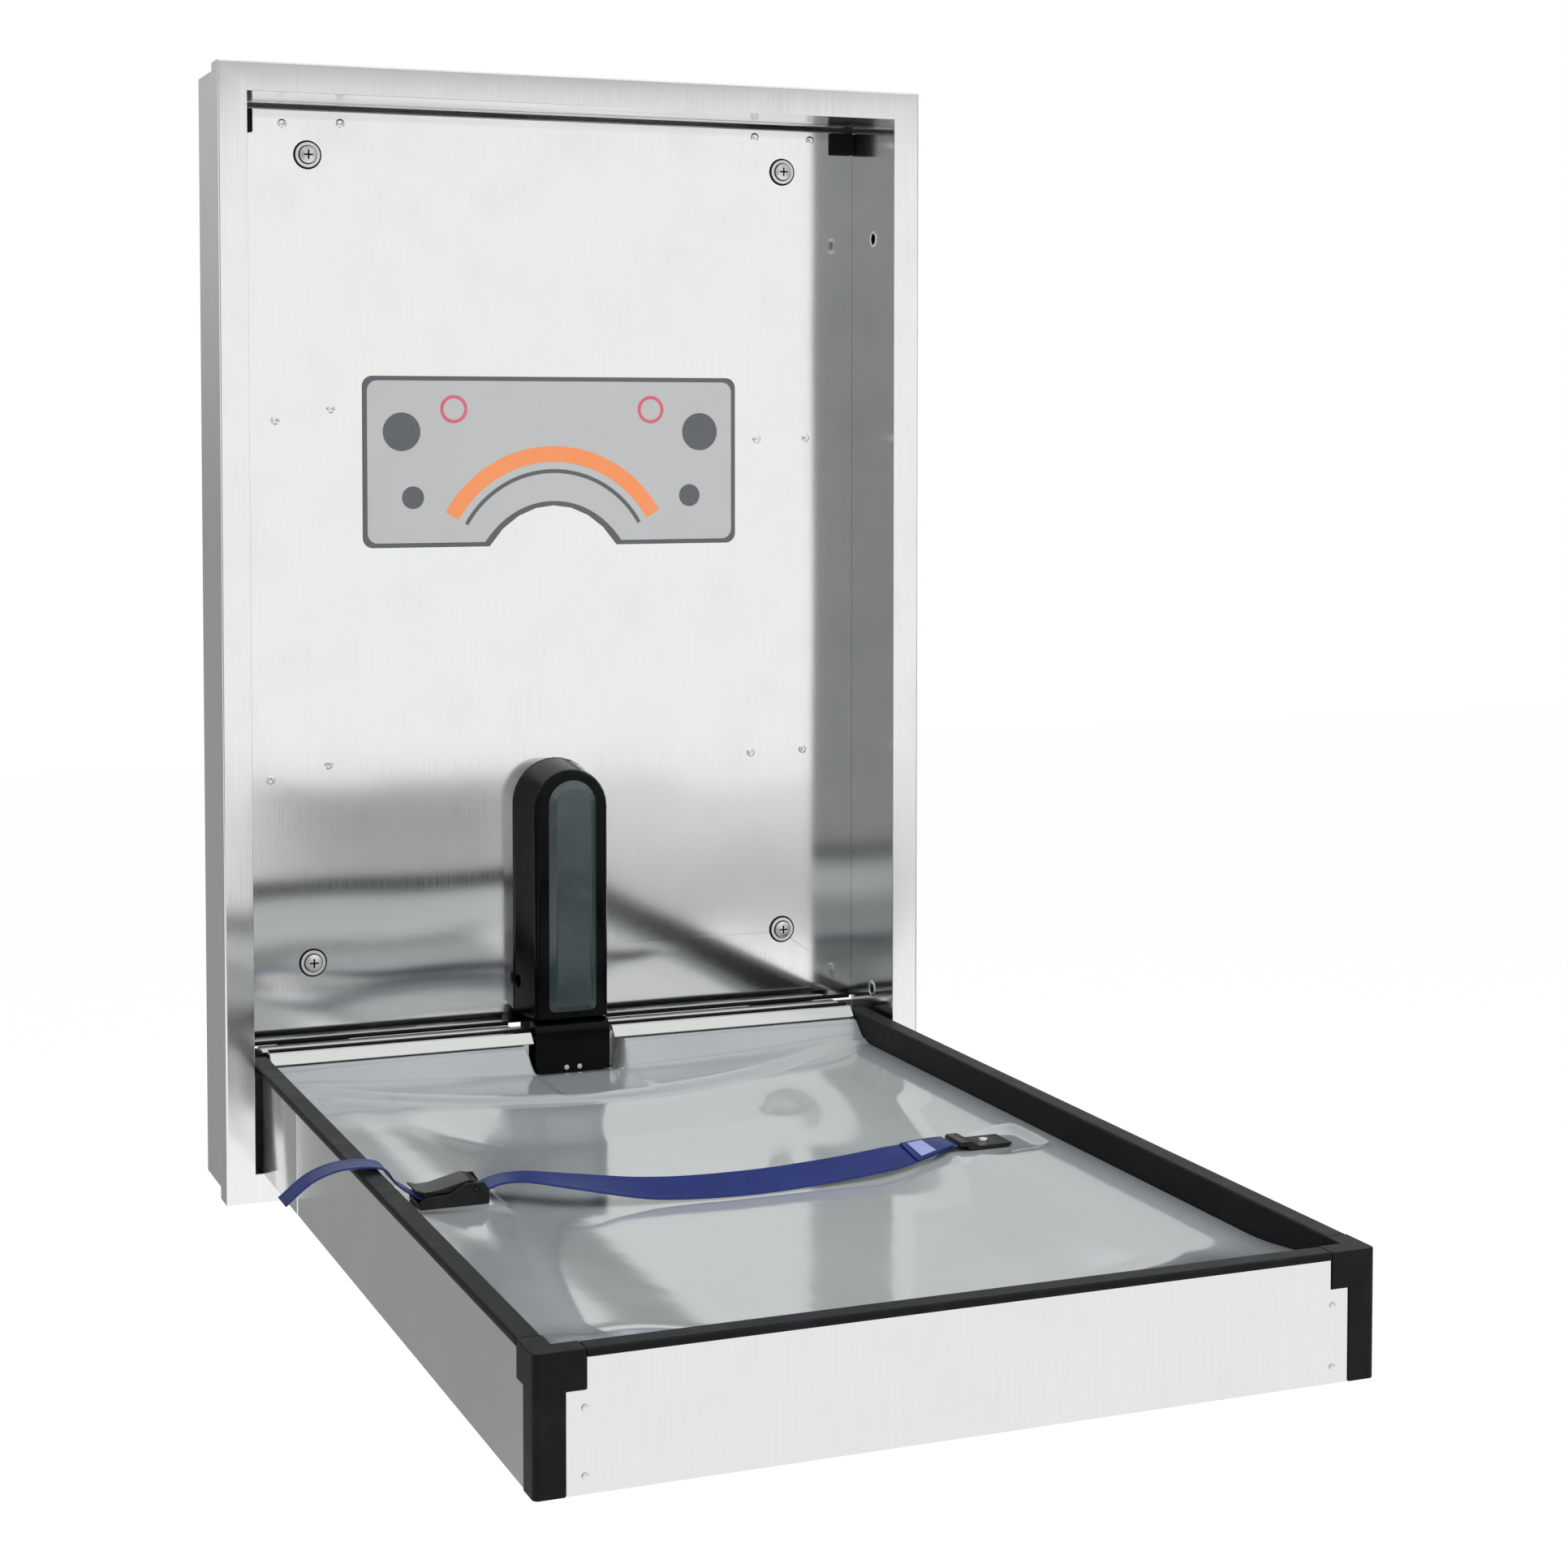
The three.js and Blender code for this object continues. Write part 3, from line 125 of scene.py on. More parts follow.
# %% Colour and node helpers
def linear(hex_colour):
    shares = [int(hex_colour[i:i + 2], 16) / 255 for i in (1, 3, 5)]
    return tuple(s / 12.92 if s <= 0.04045 else ((s + 0.055) / 1.055) ** 2.4 for s in shares) + (1.0,)


def put(tree, kind, inputs=None, **settings):
    made = tree.nodes.new(kind)
    for name, value in settings.items():
        setattr(made, name, value)
    for name, value in (inputs or {}).items():
        if isinstance(value, bpy.types.Node):
            value = value.outputs[0]
        if isinstance(value, bpy.types.NodeSocket):
            tree.links.new(value, made.inputs[name])
        else:
            made.inputs[name].default_value = value
    return made


def empty_tree(owner):
    owner.use_nodes = True
    owner.node_tree.nodes.clear()
    return owner.node_tree


def start_material(name):
    material = bpy.data.materials.new(name)
    tree = empty_tree(material)
    return material, tree, put(tree, "ShaderNodeTexCoord").outputs["Object"]


print("mid grey in linear light:", round(linear("#808080")[0], 3))

# %% [markdown]
# ## Webbing
# The strap is woven nylon, 25 mm wide and navy blue: its ribs run along it and fine picks cross it. The
# real threads are about 0.7 mm apart, too fine to show here, so they are drawn 1.8 mm apart. The ribbon
# meshes below carry their own map, in metres across and along, and the weave is two sine waves on it.
# Nylon thread is smooth, so the strap has a silky shine that turns lavender where light grazes it.

# %% Webbing finish
def woven_nylon(name, dark_thread, pale_thread, pitch, roughness):
    material, tree, place = start_material(name)
    across_along = put(tree, "ShaderNodeSeparateXYZ", {"Vector": put(tree, "ShaderNodeUVMap").outputs["UV"]})
    waves = []
    for axis, spacing in (("X", pitch), ("Y", pitch * 1.25)):
        turned = put(tree, "ShaderNodeMath", {0: across_along.outputs[axis], 1: math.tau / spacing},
                     operation="MULTIPLY")
        waves.append(put(tree, "ShaderNodeMath", {0: turned}, operation="SINE"))
    weave = put(tree, "ShaderNodeMath", {0: waves[0], 1: waves[1]}, operation="MULTIPLY")
    height = put(tree, "ShaderNodeMath", {0: weave, 1: 0.5, 2: waves[0]}, operation="MULTIPLY_ADD")
    bump = put(tree, "ShaderNodeBump", {"Height": height, "Strength": 0.4, "Distance": 0.00015})
    fade = put(tree, "ShaderNodeTexNoise", {"Vector": place, "Scale": 1 / 0.03, "Detail": 3.0})
    shade = put(tree, "ShaderNodeMapRange", {"Value": weave, "From Min": -1.0, "From Max": 1.0,
                                             "To Min": 0.1, "To Max": 0.6})
    uneven = put(tree, "ShaderNodeMath", {0: fade, 1: 0.5, 2: shade}, operation="MULTIPLY_ADD")
    threads = put(tree, "ShaderNodeMix", {0: uneven, 6: linear(dark_thread), 7: linear(pale_thread)},
                  data_type="RGBA")
    shader = put(tree, "ShaderNodeBsdfPrincipled", {
        "Base Color": threads.outputs[2], "Normal": bump, "Roughness": roughness, "IOR": 1.53,
        "Specular IOR Level": 0.22, "Sheen Weight": 0.05, "Sheen Roughness": 0.3,
        "Sheen Tint": linear("#b9c0ff")})
    put(tree, "ShaderNodeOutputMaterial", {"Surface": shader})
    return material


webbing = woven_nylon("woven_nylon_navy", "#0b163f", "#182c72", 0.0018, 0.32)
stitching = woven_nylon("bar_tack_thread_lavender", "#5d6aa6", "#a3add6", 0.0014, 0.45)
print("made", webbing.name, "and", stitching.name)

# %% [markdown]
# ## Strap
# The strap is one length of webbing. It starts at a black anchor on the right, crosses the bed with a
# twist, passes under the buckle's lever, and its loose tail hangs over the tray's left edge. It could be a
# curve with a flat bevel, but a mesh ribbon lets each station have its own roll, so the twist follows the
# picture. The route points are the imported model's own: x, shift to the room and height above the rim in
# millimetres, then the roll in degrees.

# %% Strap route
RIM = -0.3634
STRAP_LINE = -0.434
WEBBING_ROUTE = [(190.4, 0, -25.6, 0), (180.2, 0, -26, 6), (134.54, 9, -30, 30), (65.35, 17, -33.2, 32),
                 (0, 20, -34, 32), (-65.35, 13, -32.5, 28), (-123.01, 4, -24, 14), (-163.37, 0, -17.5, 4),
                 (-182.2, 0, -18, 0), (-194.2, 0, -21.8, 0), (-200.2, 0, -24.4, 0), (-204.2, 0, -24.8, 0)]
TAIL_ROUTE = [(-204.8, 0, -24.8, 0), (-224.2, 0, -24.8, 0), (-238.2, 0, -24.8, 0), (-251.2, 0, -17.8, 0),
              (-261.2, 0, -9.5, 0), (-268.7, 0, 0.6, 0), (-276.7, 0, 3.2, 0), (-290.2, 0, 4.2, 0),
              (-304.05, 0, 3.36, 0), (-322.2, 0, -3, 0), (-342, 0, -18, 0)]


def smooth_route(route, steps):
    """Points and rolls on a smooth curve through the route. Its knots are spaced by each span's root."""
    places = [Vector((x / 1000, STRAP_LINE - shift / 1000, RIM + height / 1000))
              for x, shift, height, _ in route]
    rolls = [math.radians(stop[3]) for stop in route]
    ends = [2 * places[0] - places[1], *places, 2 * places[-1] - places[-2]]
    points = []
    for i in range(len(places) - 1):
        p0, p1, p2, p3 = ends[i:i + 4]
        k0, k1, k2 = ((b - a).length ** 0.5 for a, b in ((p0, p1), (p1, p2), (p2, p3)))
        leave = ((p1 - p0) / k0 - (p2 - p0) / (k0 + k1) + (p2 - p1) / k1) * k1
        arrive = ((p2 - p1) / k1 - (p3 - p1) / (k1 + k2) + (p3 - p2) / k2) * k1
        for j in range(steps + (i == len(places) - 2)):
            t = j / steps
            cube = (2 * p1 - 2 * p2 + leave + arrive) * t ** 3
            square = (3 * p2 - 3 * p1 - 2 * leave - arrive) * t ** 2
            points.append((p1 + leave * t + (cube + square), rolls[i] + (rolls[i + 1] - rolls[i]) * t))
    return points


def route_length(points):
    return sum((b[0] - a[0]).length for a, b in zip(points, points[1:]))


webbing_points = smooth_route(WEBBING_ROUTE, 10)
tail_points = smooth_route(TAIL_ROUTE, 8)
print("webbing", round(route_length(webbing_points), 3), "m, tail", round(route_length(tail_points), 3), "m")

# %% [markdown]
# Most pieces below are rings of points, each joined to the next, so one helper joins two rings with a
# band of faces. Another turns the faces into an object whose shading is smooth up to a given angle. The
# last also attaches the piece to the body it rides on.

# %% Mesh helpers
SMOOTH_ANGLE = 38


def join_rings(bm, one, other):
    count = len(one)
    for k in range(count):
        n = (k + 1) % count
        bm.faces.new((one[k], one[n], other[n], other[k]))


def mesh_object(name, bm, finishes, smooth=SMOOTH_ANGLE):
    mesh = bpy.data.meshes.new(name)
    bm.to_mesh(mesh)
    bm.free()
    mesh.shade_smooth()
    mesh.set_sharp_from_angle(angle=math.radians(smooth))
    for finish in finishes:
        mesh.materials.append(finish)
    return add_object(name, mesh)


def finish_piece(name, bm, material, body, slot, smooth=SMOOTH_ANGLE):
    bmesh.ops.recalc_face_normals(bm, faces=bm.faces)
    piece = mesh_object(name, bm, [material], smooth)
    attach(piece, body)
    return piece


print("helpers ready:", join_rings.__name__, mesh_object.__name__, finish_piece.__name__)

# %% [markdown]
# The ribbon's section has rounded selvedges that stand a little prouder than its middle, as woven edges
# do. Each ring of the section is laid across the route at its own roll, and the rings are joined in order.
# At the anchor the end is folded back on itself and sewn down with a dense bar tack in paler thread.

# %% Ribbon pieces
STRAP_WIDTH = 0.025
STRAP_THICK = 0.0016
FOLD_SPAN = (0.148, 0.187)
TACK_SPAN = (0.151, 0.172)


def ribbon_section(width, thick):
    half, t = width / 2, thick / 2
    edge = [(half - 0.0009, 0.92 * t), (half - 0.0022, t), (half - 0.0036, 0.72 * t), (half / 2, 0.7 * t)]
    upper = [(-a, b) for a, b in edge] + [(0, 0.74 * t)] + list(reversed(edge))
    return [(-half, 0), *upper, (half, 0), *[(a, -b) for a, b in reversed(upper)]]


def make_ribbon(name, points, width=STRAP_WIDTH, thick=STRAP_THICK, lift=0.0, thread=webbing):
    section = ribbon_section(width, thick)
    bm = bmesh.new()
    uv = bm.loops.layers.uv.new("strap_map")
    rings, map_place = [], {}
    travelled = 0.0
    for i, (centre, roll) in enumerate(points):
        before, after = points[max(i - 1, 0)][0], points[min(i + 1, len(points) - 1)][0]
        along = (after - before).normalized()
        flat = (Vector((0, 1, 0)) - along * along.y).normalized()
        up = flat.cross(along)
        across = flat * math.cos(roll) + up * math.sin(roll)
        outward = up * math.cos(roll) - flat * math.sin(roll)
        if i:
            travelled += (centre - points[i - 1][0]).length
        ring = [bm.verts.new(centre + across * a + outward * (b + lift)) for a, b in section]
        for vert, (a, _) in zip(ring, section):
            map_place[vert] = (a, travelled)
        rings.append(ring)
    for lower, upper in zip(rings, rings[1:]):
        join_rings(bm, lower, upper)
    bm.faces.new(list(reversed(rings[0])))
    bm.faces.new(rings[-1])
    for face in bm.faces:
        for loop in face.loops:
            loop[uv].uv = map_place[loop.vert]
    return finish_piece(name, bm, thread, "tray", "webbing", 60)


strap = make_ribbon("strap_across_bed", webbing_points)
fold_points = [p for p in webbing_points if FOLD_SPAN[0] < p[0].x < FOLD_SPAN[1]]
sewn_points = [p for p in fold_points if TACK_SPAN[0] < p[0].x < TACK_SPAN[1]]
fold = make_ribbon("strap_sewn_fold", fold_points, width=0.0246, thick=0.0012, lift=0.0014)
tack = make_ribbon("strap_bar_tack", sewn_points, width=0.0190, thick=0.0006, lift=0.0021, thread=stitching)
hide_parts("strap_webbing")
print("strap pieces:", strap.name, fold.name, tack.name)

# %% [markdown]
# The tail stands out past the tray's side, so it can't stay as it is when the tray folds into the cabinet.
# Real webbing is pushed in and crumples there; here the tail only gets a mesh of its own.

# %% Loose tail
tail = make_ribbon("strap_loose_tail", tail_points)
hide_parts("strap_tail")
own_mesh(tail)

# %% [markdown]
# ## Stage and light
# The station hangs with its rim 0.86 m above the floor. The floor and the world are white to the camera
# and to reflections, so the background is plain and steel has something to mirror. Bare steel shows the
# room it stands in: in the picture its left-facing sides and the lower part of the back panel mirror
# darker parts of the studio. Four grey cards stand in for those, and three more stand to the right, to
# the left and behind, so that the other sides have something grey to mirror. Only reflections see them.

# %% Floor
RIM_ABOVE_FLOOR = 0.86
FLOOR = RIM - RIM_ABOVE_FLOOR
FLOOR_HALF = 9


def background_rays(tree):
    """1 for rays from the camera, from mirrors and through clear things, 0 for rays that only bring light."""
    path = put(tree, "ShaderNodeLightPath")
    seen = put(tree, "ShaderNodeMath", {0: path.outputs["Is Camera Ray"], 1: path.outputs["Is Glossy Ray"]},
               operation="MAXIMUM")
    return put(tree, "ShaderNodeMath", {0: seen, 1: path.outputs["Is Transmission Ray"]},
               operation="MAXIMUM")


def flat_card(name, corners, material):
    mesh = bpy.data.meshes.new(name)
    mesh.from_pydata(corners, [], [(0, 1, 2, 3)])
    mesh.materials.append(material)
    card = add_object(name, mesh)
    return card


floor_paint = bpy.data.materials.new("pale_studio_floor")
tree = empty_tree(floor_paint)
matt = put(tree, "ShaderNodeBsdfDiffuse", {"Color": linear("#f6f6f5")})
glow = put(tree, "ShaderNodeEmission", {"Color": (1, 1, 1, 1), "Strength": 1.03})
kept_shadow = put(tree, "ShaderNodeMixShader", {0: 0.9, 1: matt, 2: glow})
mixed = put(tree, "ShaderNodeMixShader", {0: background_rays(tree), 1: matt, 2: kept_shadow})
put(tree, "ShaderNodeOutputMaterial", {"Surface": mixed})
corners = [(x * FLOOR_HALF, y * FLOOR_HALF, FLOOR) for x, y in ((-1, -1), (1, -1), (1, 1), (-1, 1))]
flat_card("studio_floor", corners, floor_paint)
print("floor at", round(FLOOR, 3), "m")

# %% Grey cards for the steel to mirror
# A row has a name, the two ends in x and y, the top's height at each end, the two heights between which
# the shade changes, the lower shade and the upper one.
CARD_FOOT = -1.2
CARDS = [("card_left_rear", (-3.5, 0.9), (-0.34, 0.9), (1.6, 1.6), (0.0, 0.6), "#969897", "#b9bbba"),
         ("card_behind_camera", (-2.4, -3.3), (-0.55, -3.3), (1.6, 1.6), (0.0, 1.0), "#8e908f", "#969897"),
         ("card_low_left", (0.62, -4.6), (1.45, -4.6), (-0.73, -0.75), (-1.1, -0.8), "#b4b6b5", "#9a9c9b"),
         ("card_low_right", (1.45, -4.6), (2.5, -4.6), (-0.77, -0.79), (-1.2, -0.8), "#b9bbba", "#e2e4e3"),
         ("card_right", (3.2, -4.2), (3.2, 1.8), (1.6, 1.6), (-0.9, 0.6), "#9c9e9d", "#d0d2d1"),
         ("card_back", (-3.2, 3.2), (4.6, 3.2), (1.6, 1.6), (-1.1, 0.4), "#a4a6a5", "#d4d6d5"),
         ("card_left_front", (-4.5, -6.5), (-4.5, -1.4), (1.6, 1.6), (-0.9, 0.6), "#9c9e9d", "#d0d2d1")]
for name, one_end, other_end, tops, (begin, stop), first, second in CARDS:
    paint, tree, place = start_material(name)
    height = put(tree, "ShaderNodeSeparateXYZ", {"Vector": place}).outputs["Z"]
    share = put(tree, "ShaderNodeMapRange", {"Value": height, "From Min": begin, "From Max": stop},
                interpolation_type="SMOOTHSTEP")
    shade = put(tree, "ShaderNodeMix", {0: share, 6: linear(first), 7: linear(second)}, data_type="RGBA")
    grey = put(tree, "ShaderNodeEmission", {"Color": shade.outputs[2], "Strength": 1.0})
    put(tree, "ShaderNodeOutputMaterial", {"Surface": grey})
    card = flat_card(name, [(*one_end, CARD_FOOT), (*other_end, CARD_FOOT), (*other_end, tops[1]),
                            (*one_end, tops[0])], paint)
    card.visible_camera = False
    card.visible_diffuse = False
    card.visible_shadow = False
print("grey cards:", len(CARDS))

# %% [markdown]
# Reflections also see a darker belt of the studio, low above the horizon, where the white walls end. It
# is darkest to the right. The tray mirrored in the back panel shows that belt, so it looks darker than the
# panel above it.

# %% World and lamps
BELT_FOOT = (0.120, 0.145)
BELT_TOP = (0.210, 0.224)
BELT_TURN = (0.24, 0.36)
LAMPS = [("softbox_front_right", (2.2, -3.4, 2.6), 2.6, 105), ("softbox_top", (-0.3, -1.2, 3.2), 2.2, 50)]
LAMP_TARGET = Vector((0, -0.4, -0.2))
world = bpy.data.worlds.new("white_studio")
bpy.context.scene.world = world
tree = empty_tree(world)
path = put(tree, "ShaderNodeLightPath")
heading = put(tree, "ShaderNodeSeparateXYZ", {"Vector": put(tree, "ShaderNodeTexCoord").outputs["Generated"]})
rise = heading.outputs["Z"]
above = put(tree, "ShaderNodeMapRange", {"Value": rise, "From Min": BELT_FOOT[0], "From Max": BELT_FOOT[1]},
            interpolation_type="SMOOTHSTEP")
below = put(tree, "ShaderNodeMapRange", {"Value": rise, "From Min": BELT_TOP[1], "From Max": BELT_TOP[0]},
            interpolation_type="SMOOTHSTEP")
belt = put(tree, "ShaderNodeMath", {0: above, 1: below}, operation="MULTIPLY")
mirrored = put(tree, "ShaderNodeMath", {0: belt, 1: path.outputs["Is Glossy Ray"]}, operation="MULTIPLY")
to_right = put(tree, "ShaderNodeMapRange", {"Value": heading.outputs["X"], "From Min": BELT_TURN[0],
                                            "From Max": BELT_TURN[1]}, interpolation_type="SMOOTHSTEP")
belt_tone = put(tree, "ShaderNodeMix", {0: to_right, 6: linear("#a6a8a7"), 7: linear("#4c4e4d")},
                data_type="RGBA")
tone = put(tree, "ShaderNodeMix", {0: mirrored, 6: (1, 1, 1, 1), 7: belt_tone.outputs[2]}, data_type="RGBA")
fill = put(tree, "ShaderNodeBackground", {"Color": (1, 1, 1, 1), "Strength": 0.62})
white = put(tree, "ShaderNodeBackground", {"Color": tone.outputs[2], "Strength": 1.0})
both = put(tree, "ShaderNodeMixShader", {0: background_rays(tree), 1: fill, 2: white})
put(tree, "ShaderNodeOutputWorld", {"Surface": both})

for name, place, side, watts in LAMPS:
    lamp_data = bpy.data.lights.new(name, "AREA")
    lamp_data.shape = "SQUARE"
    lamp_data.size = side
    lamp_data.energy = watts
    lamp = add_object(name, lamp_data)
    lamp.location = place
    lamp.rotation_euler = (LAMP_TARGET - Vector(place)).to_track_quat("-Z", "Y").to_euler()
    lamp.visible_glossy = False
bpy.context.scene.view_settings.view_transform = "Standard"
print("lamps:", [row[0] for row in LAMPS])

# %% [markdown]
# ## Stainless steel
# The cabinet is 1.2 mm austenitic stainless steel with a brushed finish. Brushing leaves fine scratches
# that all run one way. They blur reflections across the grain and leave them sharper along it, which the
# shader's anisotropy gives. The scratches are about 0.1 mm apart; they are drawn 0.7 mm wide so that they
# just show. Rolled sheet is never quite flat either: a slow wave, about 220 mm long, bends the
# reflections as in the picture's back panel.

# %% Brushed stainless finish
SCRATCH_WIDTH = 0.0007
SCRATCH_LENGTH = 0.05
BLOTCH_SIZE = 0.05
SHEET_WAVE = 0.22


def brushed_stainless(name, grain, wave=0.0, pale="#eff1ef", dull="#e7e9e7", smooth=0.12):
    material, tree, place = start_material(name)
    stretch = [1 / SCRATCH_WIDTH] * 3
    stretch["XYZ".index(grain)] = 1 / SCRATCH_LENGTH
    brushed = put(tree, "ShaderNodeMapping", {"Vector": place, "Scale": stretch})
    scratches = put(tree, "ShaderNodeTexNoise", {"Vector": brushed, "Scale": 1.0, "Detail": 3.0})
    blotches = put(tree, "ShaderNodeTexNoise", {"Vector": place, "Scale": 1 / BLOTCH_SIZE, "Detail": 4.0})
    fine = put(tree, "ShaderNodeBump", {"Height": scratches, "Strength": 0.5, "Distance": 0.00002})
    normal = fine
    if wave:
        slow = put(tree, "ShaderNodeTexNoise", {"Vector": place, "Scale": 1 / SHEET_WAVE, "Detail": 1.0})
        normal = put(tree, "ShaderNodeBump", {"Height": slow, "Strength": 1.0, "Distance": wave,
                                              "Normal": fine})
    gloss = put(tree, "ShaderNodeMapRange", {"Value": scratches, "From Min": 0.3, "From Max": 0.7,
                                             "To Min": smooth, "To Max": smooth + 0.03})
    tint = put(tree, "ShaderNodeMapRange", {"Value": scratches, "From Min": 0.3, "From Max": 0.7,
                                            "To Min": 0.3, "To Max": 0.7})
    streaked = put(tree, "ShaderNodeMix", {0: tint, 6: linear(pale), 7: linear(dull)}, data_type="RGBA")
    handled = put(tree, "ShaderNodeMapRange", {"Value": blotches, "From Min": 0.45, "From Max": 0.8,
                                               "To Min": 0.0, "To Max": 0.25})
    worn = put(tree, "ShaderNodeMix", {0: handled, 6: streaked.outputs[2], 7: linear("#d6d9d8")},
               data_type="RGBA")
    shader = put(tree, "ShaderNodeBsdfPrincipled", {
        "Base Color": worn.outputs[2], "Roughness": gloss, "Normal": normal, "Metallic": 1.0,
        "Anisotropic": 0.75})
    put(tree, "ShaderNodeOutputMaterial", {"Surface": shader})
    return material


steel_upright = brushed_stainless("brushed_stainless_upright_grain", "Z")
steel_panel = brushed_stainless("brushed_stainless_back_panel", "Z", wave=0.0012, smooth=0.08)
steel_level = brushed_stainless("brushed_stainless_level_grain", "X")
steel_tray = brushed_stainless("brushed_stainless_tray_grain", "Y", wave=0.0006)
# The tray front and the hinge strip are darker copies of the tray's own stainless: painted shade.
steel_front_shaded = brushed_stainless("brushed_stainless_tray_front_painted_shade", "Z", pale="#e6e8e5", dull="#dee0dd")
steel_strip_shaded = brushed_stainless("brushed_stainless_hinge_strip_painted_shade", "X", pale="#dcdedc", dull="#d2d4d2")
print("stainless finishes: 6")

# %% [markdown]
# Behind the panels the channels, rails, damper and hinge base are galvanised steel: duller, with the faint
# spangle of zinc crystals, about 8 mm across. The screws and small pins are bright zinc plate.

# %% Zinc finishes
def zinc_coated(name, dark, pale, crystal, roughness):
    material, tree, place = start_material(name)
    spangle = put(tree, "ShaderNodeTexVoronoi", {"Vector": place, "Scale": 1 / crystal})
    grime = put(tree, "ShaderNodeTexNoise", {"Vector": place, "Scale": 1 / 0.004, "Detail": 3.0})
    mixed = put(tree, "ShaderNodeMath", {0: spangle.outputs["Color"], 1: 0.6}, operation="MULTIPLY")
    shade = put(tree, "ShaderNodeMix", {0: mixed, 6: linear(dark), 7: linear(pale)}, data_type="RGBA")
    rough = put(tree, "ShaderNodeMapRange", {"Value": grime, "To Min": roughness - 0.08,
                                             "To Max": roughness + 0.1})
    shader = put(tree, "ShaderNodeBsdfPrincipled", {"Base Color": shade.outputs[2], "Roughness": rough,
                                                    "Metallic": 1.0})
    put(tree, "ShaderNodeOutputMaterial", {"Surface": shader})
    return material


galvanised = zinc_coated("galvanised_steel", "#8d9091", "#b3b6b6", 0.008, 0.42)
zinc_plate = zinc_coated("bright_zinc_plate", "#e4e4e1", "#f4f4f2", 0.002, 0.36)
print("made", galvanised.name, "and", zinc_plate.name)

# %% [markdown]
# ## Plastics
# The edge trim and caps are black PVC with a satin skin, the hinge cover is moulded ABS with more gloss,
# the buckle is nylon and the bumpers are rubber. Black plastic is never one flat black: it has a faint
# moulding texture, under a millimetre across, and pale scuffs where hands and the folding tray rub it.

# %% Black plastic finishes
def black_plastic(name, dark, scuff, roughness, grain, scuffing, shine=0.35):
    material, tree, place = start_material(name)
    texture = put(tree, "ShaderNodeTexNoise", {"Vector": place, "Scale": 1 / grain, "Detail": 2.0})
    rubbed = put(tree, "ShaderNodeTexNoise", {"Vector": place, "Scale": 1 / 0.025, "Detail": 6.0,
                                              "Roughness": 0.65})
    worn = put(tree, "ShaderNodeMapRange", {"Value": rubbed, "From Min": 0.48, "From Max": 0.75,
                                            "To Min": 0.0, "To Max": scuffing})
    shade = put(tree, "ShaderNodeMix", {0: worn, 6: linear(dark), 7: linear(scuff)}, data_type="RGBA")
    gloss = put(tree, "ShaderNodeMapRange", {"Value": rubbed, "From Min": 0.3, "From Max": 0.7,
                                             "To Min": roughness - 0.05, "To Max": roughness + 0.08})
    bump = put(tree, "ShaderNodeBump", {"Height": texture, "Strength": 0.25, "Distance": 0.00008})
    shader = put(tree, "ShaderNodeBsdfPrincipled", {
        "Base Color": shade.outputs[2], "Roughness": gloss, "Normal": bump, "IOR": 1.52,
        "Specular IOR Level": shine})
    put(tree, "ShaderNodeOutputMaterial", {"Surface": shader})
    return material


trim_pvc = black_plastic("satin_black_pvc", "#0d1012", "#23272a", 0.44, 0.0006, 0.5, 0.12)
cover_abs = black_plastic("gloss_black_abs", "#040505", "#101214", 0.1, 0.0009, 0.4, 0.12)
buckle_abs = black_plastic("moulded_black_nylon", "#0e0f10", "#35352f", 0.3, 0.0007, 0.5, 0.3)
# This black serves the rubber bumpers and also the painted shade strips and screw rings.
rubber_and_painted_shade = black_plastic("black_rubber_and_painted_shade", "#080809", "#1c1d1d", 0.6, 0.0005, 0.4, 0.15)
slate_abs = black_plastic("gloss_slate_abs", "#2a373a", "#39474b", 0.12, 0.0009, 0.6, 0.85)
# Painted shade for the screws' cross recesses, not a zinc finish of their own.
recess_painted_shade = black_plastic("painted_shade_zinc_recess", "#17181a", "#2c2e30", 0.5, 0.0005, 0.5, 0.2)
print("dark plastics: 6")

# %% [markdown]
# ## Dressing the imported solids
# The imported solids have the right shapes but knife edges. Bent sheet and moulded plastic have rounded
# ones, and a rounded edge is what catches the light. A Bevel modifier would do it on each object; here
# the solid's mesh is copied, its coplanar triangles are joined again, and only its sharp edges are
# bevelled, so the radius can differ from piece to piece. A Weighted Normal modifier then keeps the large
# faces flat, so that a mirror-like sheet doesn't bulge towards its rounded edges.

# %% Dressing helper
JOIN_DISTANCE = 2e-6
FLAT_ANGLE = 0.8
nodes = frame["nodes"]


def keep_flat(piece):
    modifier = piece.modifiers.new("flat faces stay flat", "WEIGHTED_NORMAL")
    modifier.keep_sharp = True


def dress(node, material, radius, limit=40, segments=2, extra=(), second=None):
    """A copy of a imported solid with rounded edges. A pair in extra is a test of an edge and its own
    radius; second is another finish and a test of the faces that get it."""
    source = nodes[node]
    bm = bmesh.new()
    bm.from_mesh(source.data)
    bmesh.ops.remove_doubles(bm, verts=bm.verts, dist=JOIN_DISTANCE)
    bmesh.ops.dissolve_limit(bm, angle_limit=math.radians(FLAT_ANGLE), verts=bm.verts, edges=bm.edges)
    for chosen, width in [*extra, (lambda edge: True, radius)]:
        edges = [edge for edge in bm.edges if len(edge.link_faces) == 2
                 and edge.calc_face_angle(0) > math.radians(limit) and chosen(edge)]
        if edges:
            bmesh.ops.bevel(bm, geom=edges, offset=width, offset_type="OFFSET", segments=segments,
                            profile=0.5, affect="EDGES", clamp_overlap=False)
    finishes = [material]
    if second:
        finishes.append(second[0])
        for face in bm.faces:
            face.material_index = int(second[1](face))
    piece = mesh_object(node + "_dressed", bm, finishes)
    keep_flat(piece)
    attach(piece, source["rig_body"])
    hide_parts(node)


print("nodes to choose from:", len(nodes))

# %% [markdown]
# ## Cabinet
# The face frame is folded from one sheet: its front turns back at the outer edge round a bend of about
# 2 mm, which shows as a bright line down the frame. The other cut edges are only deburred.

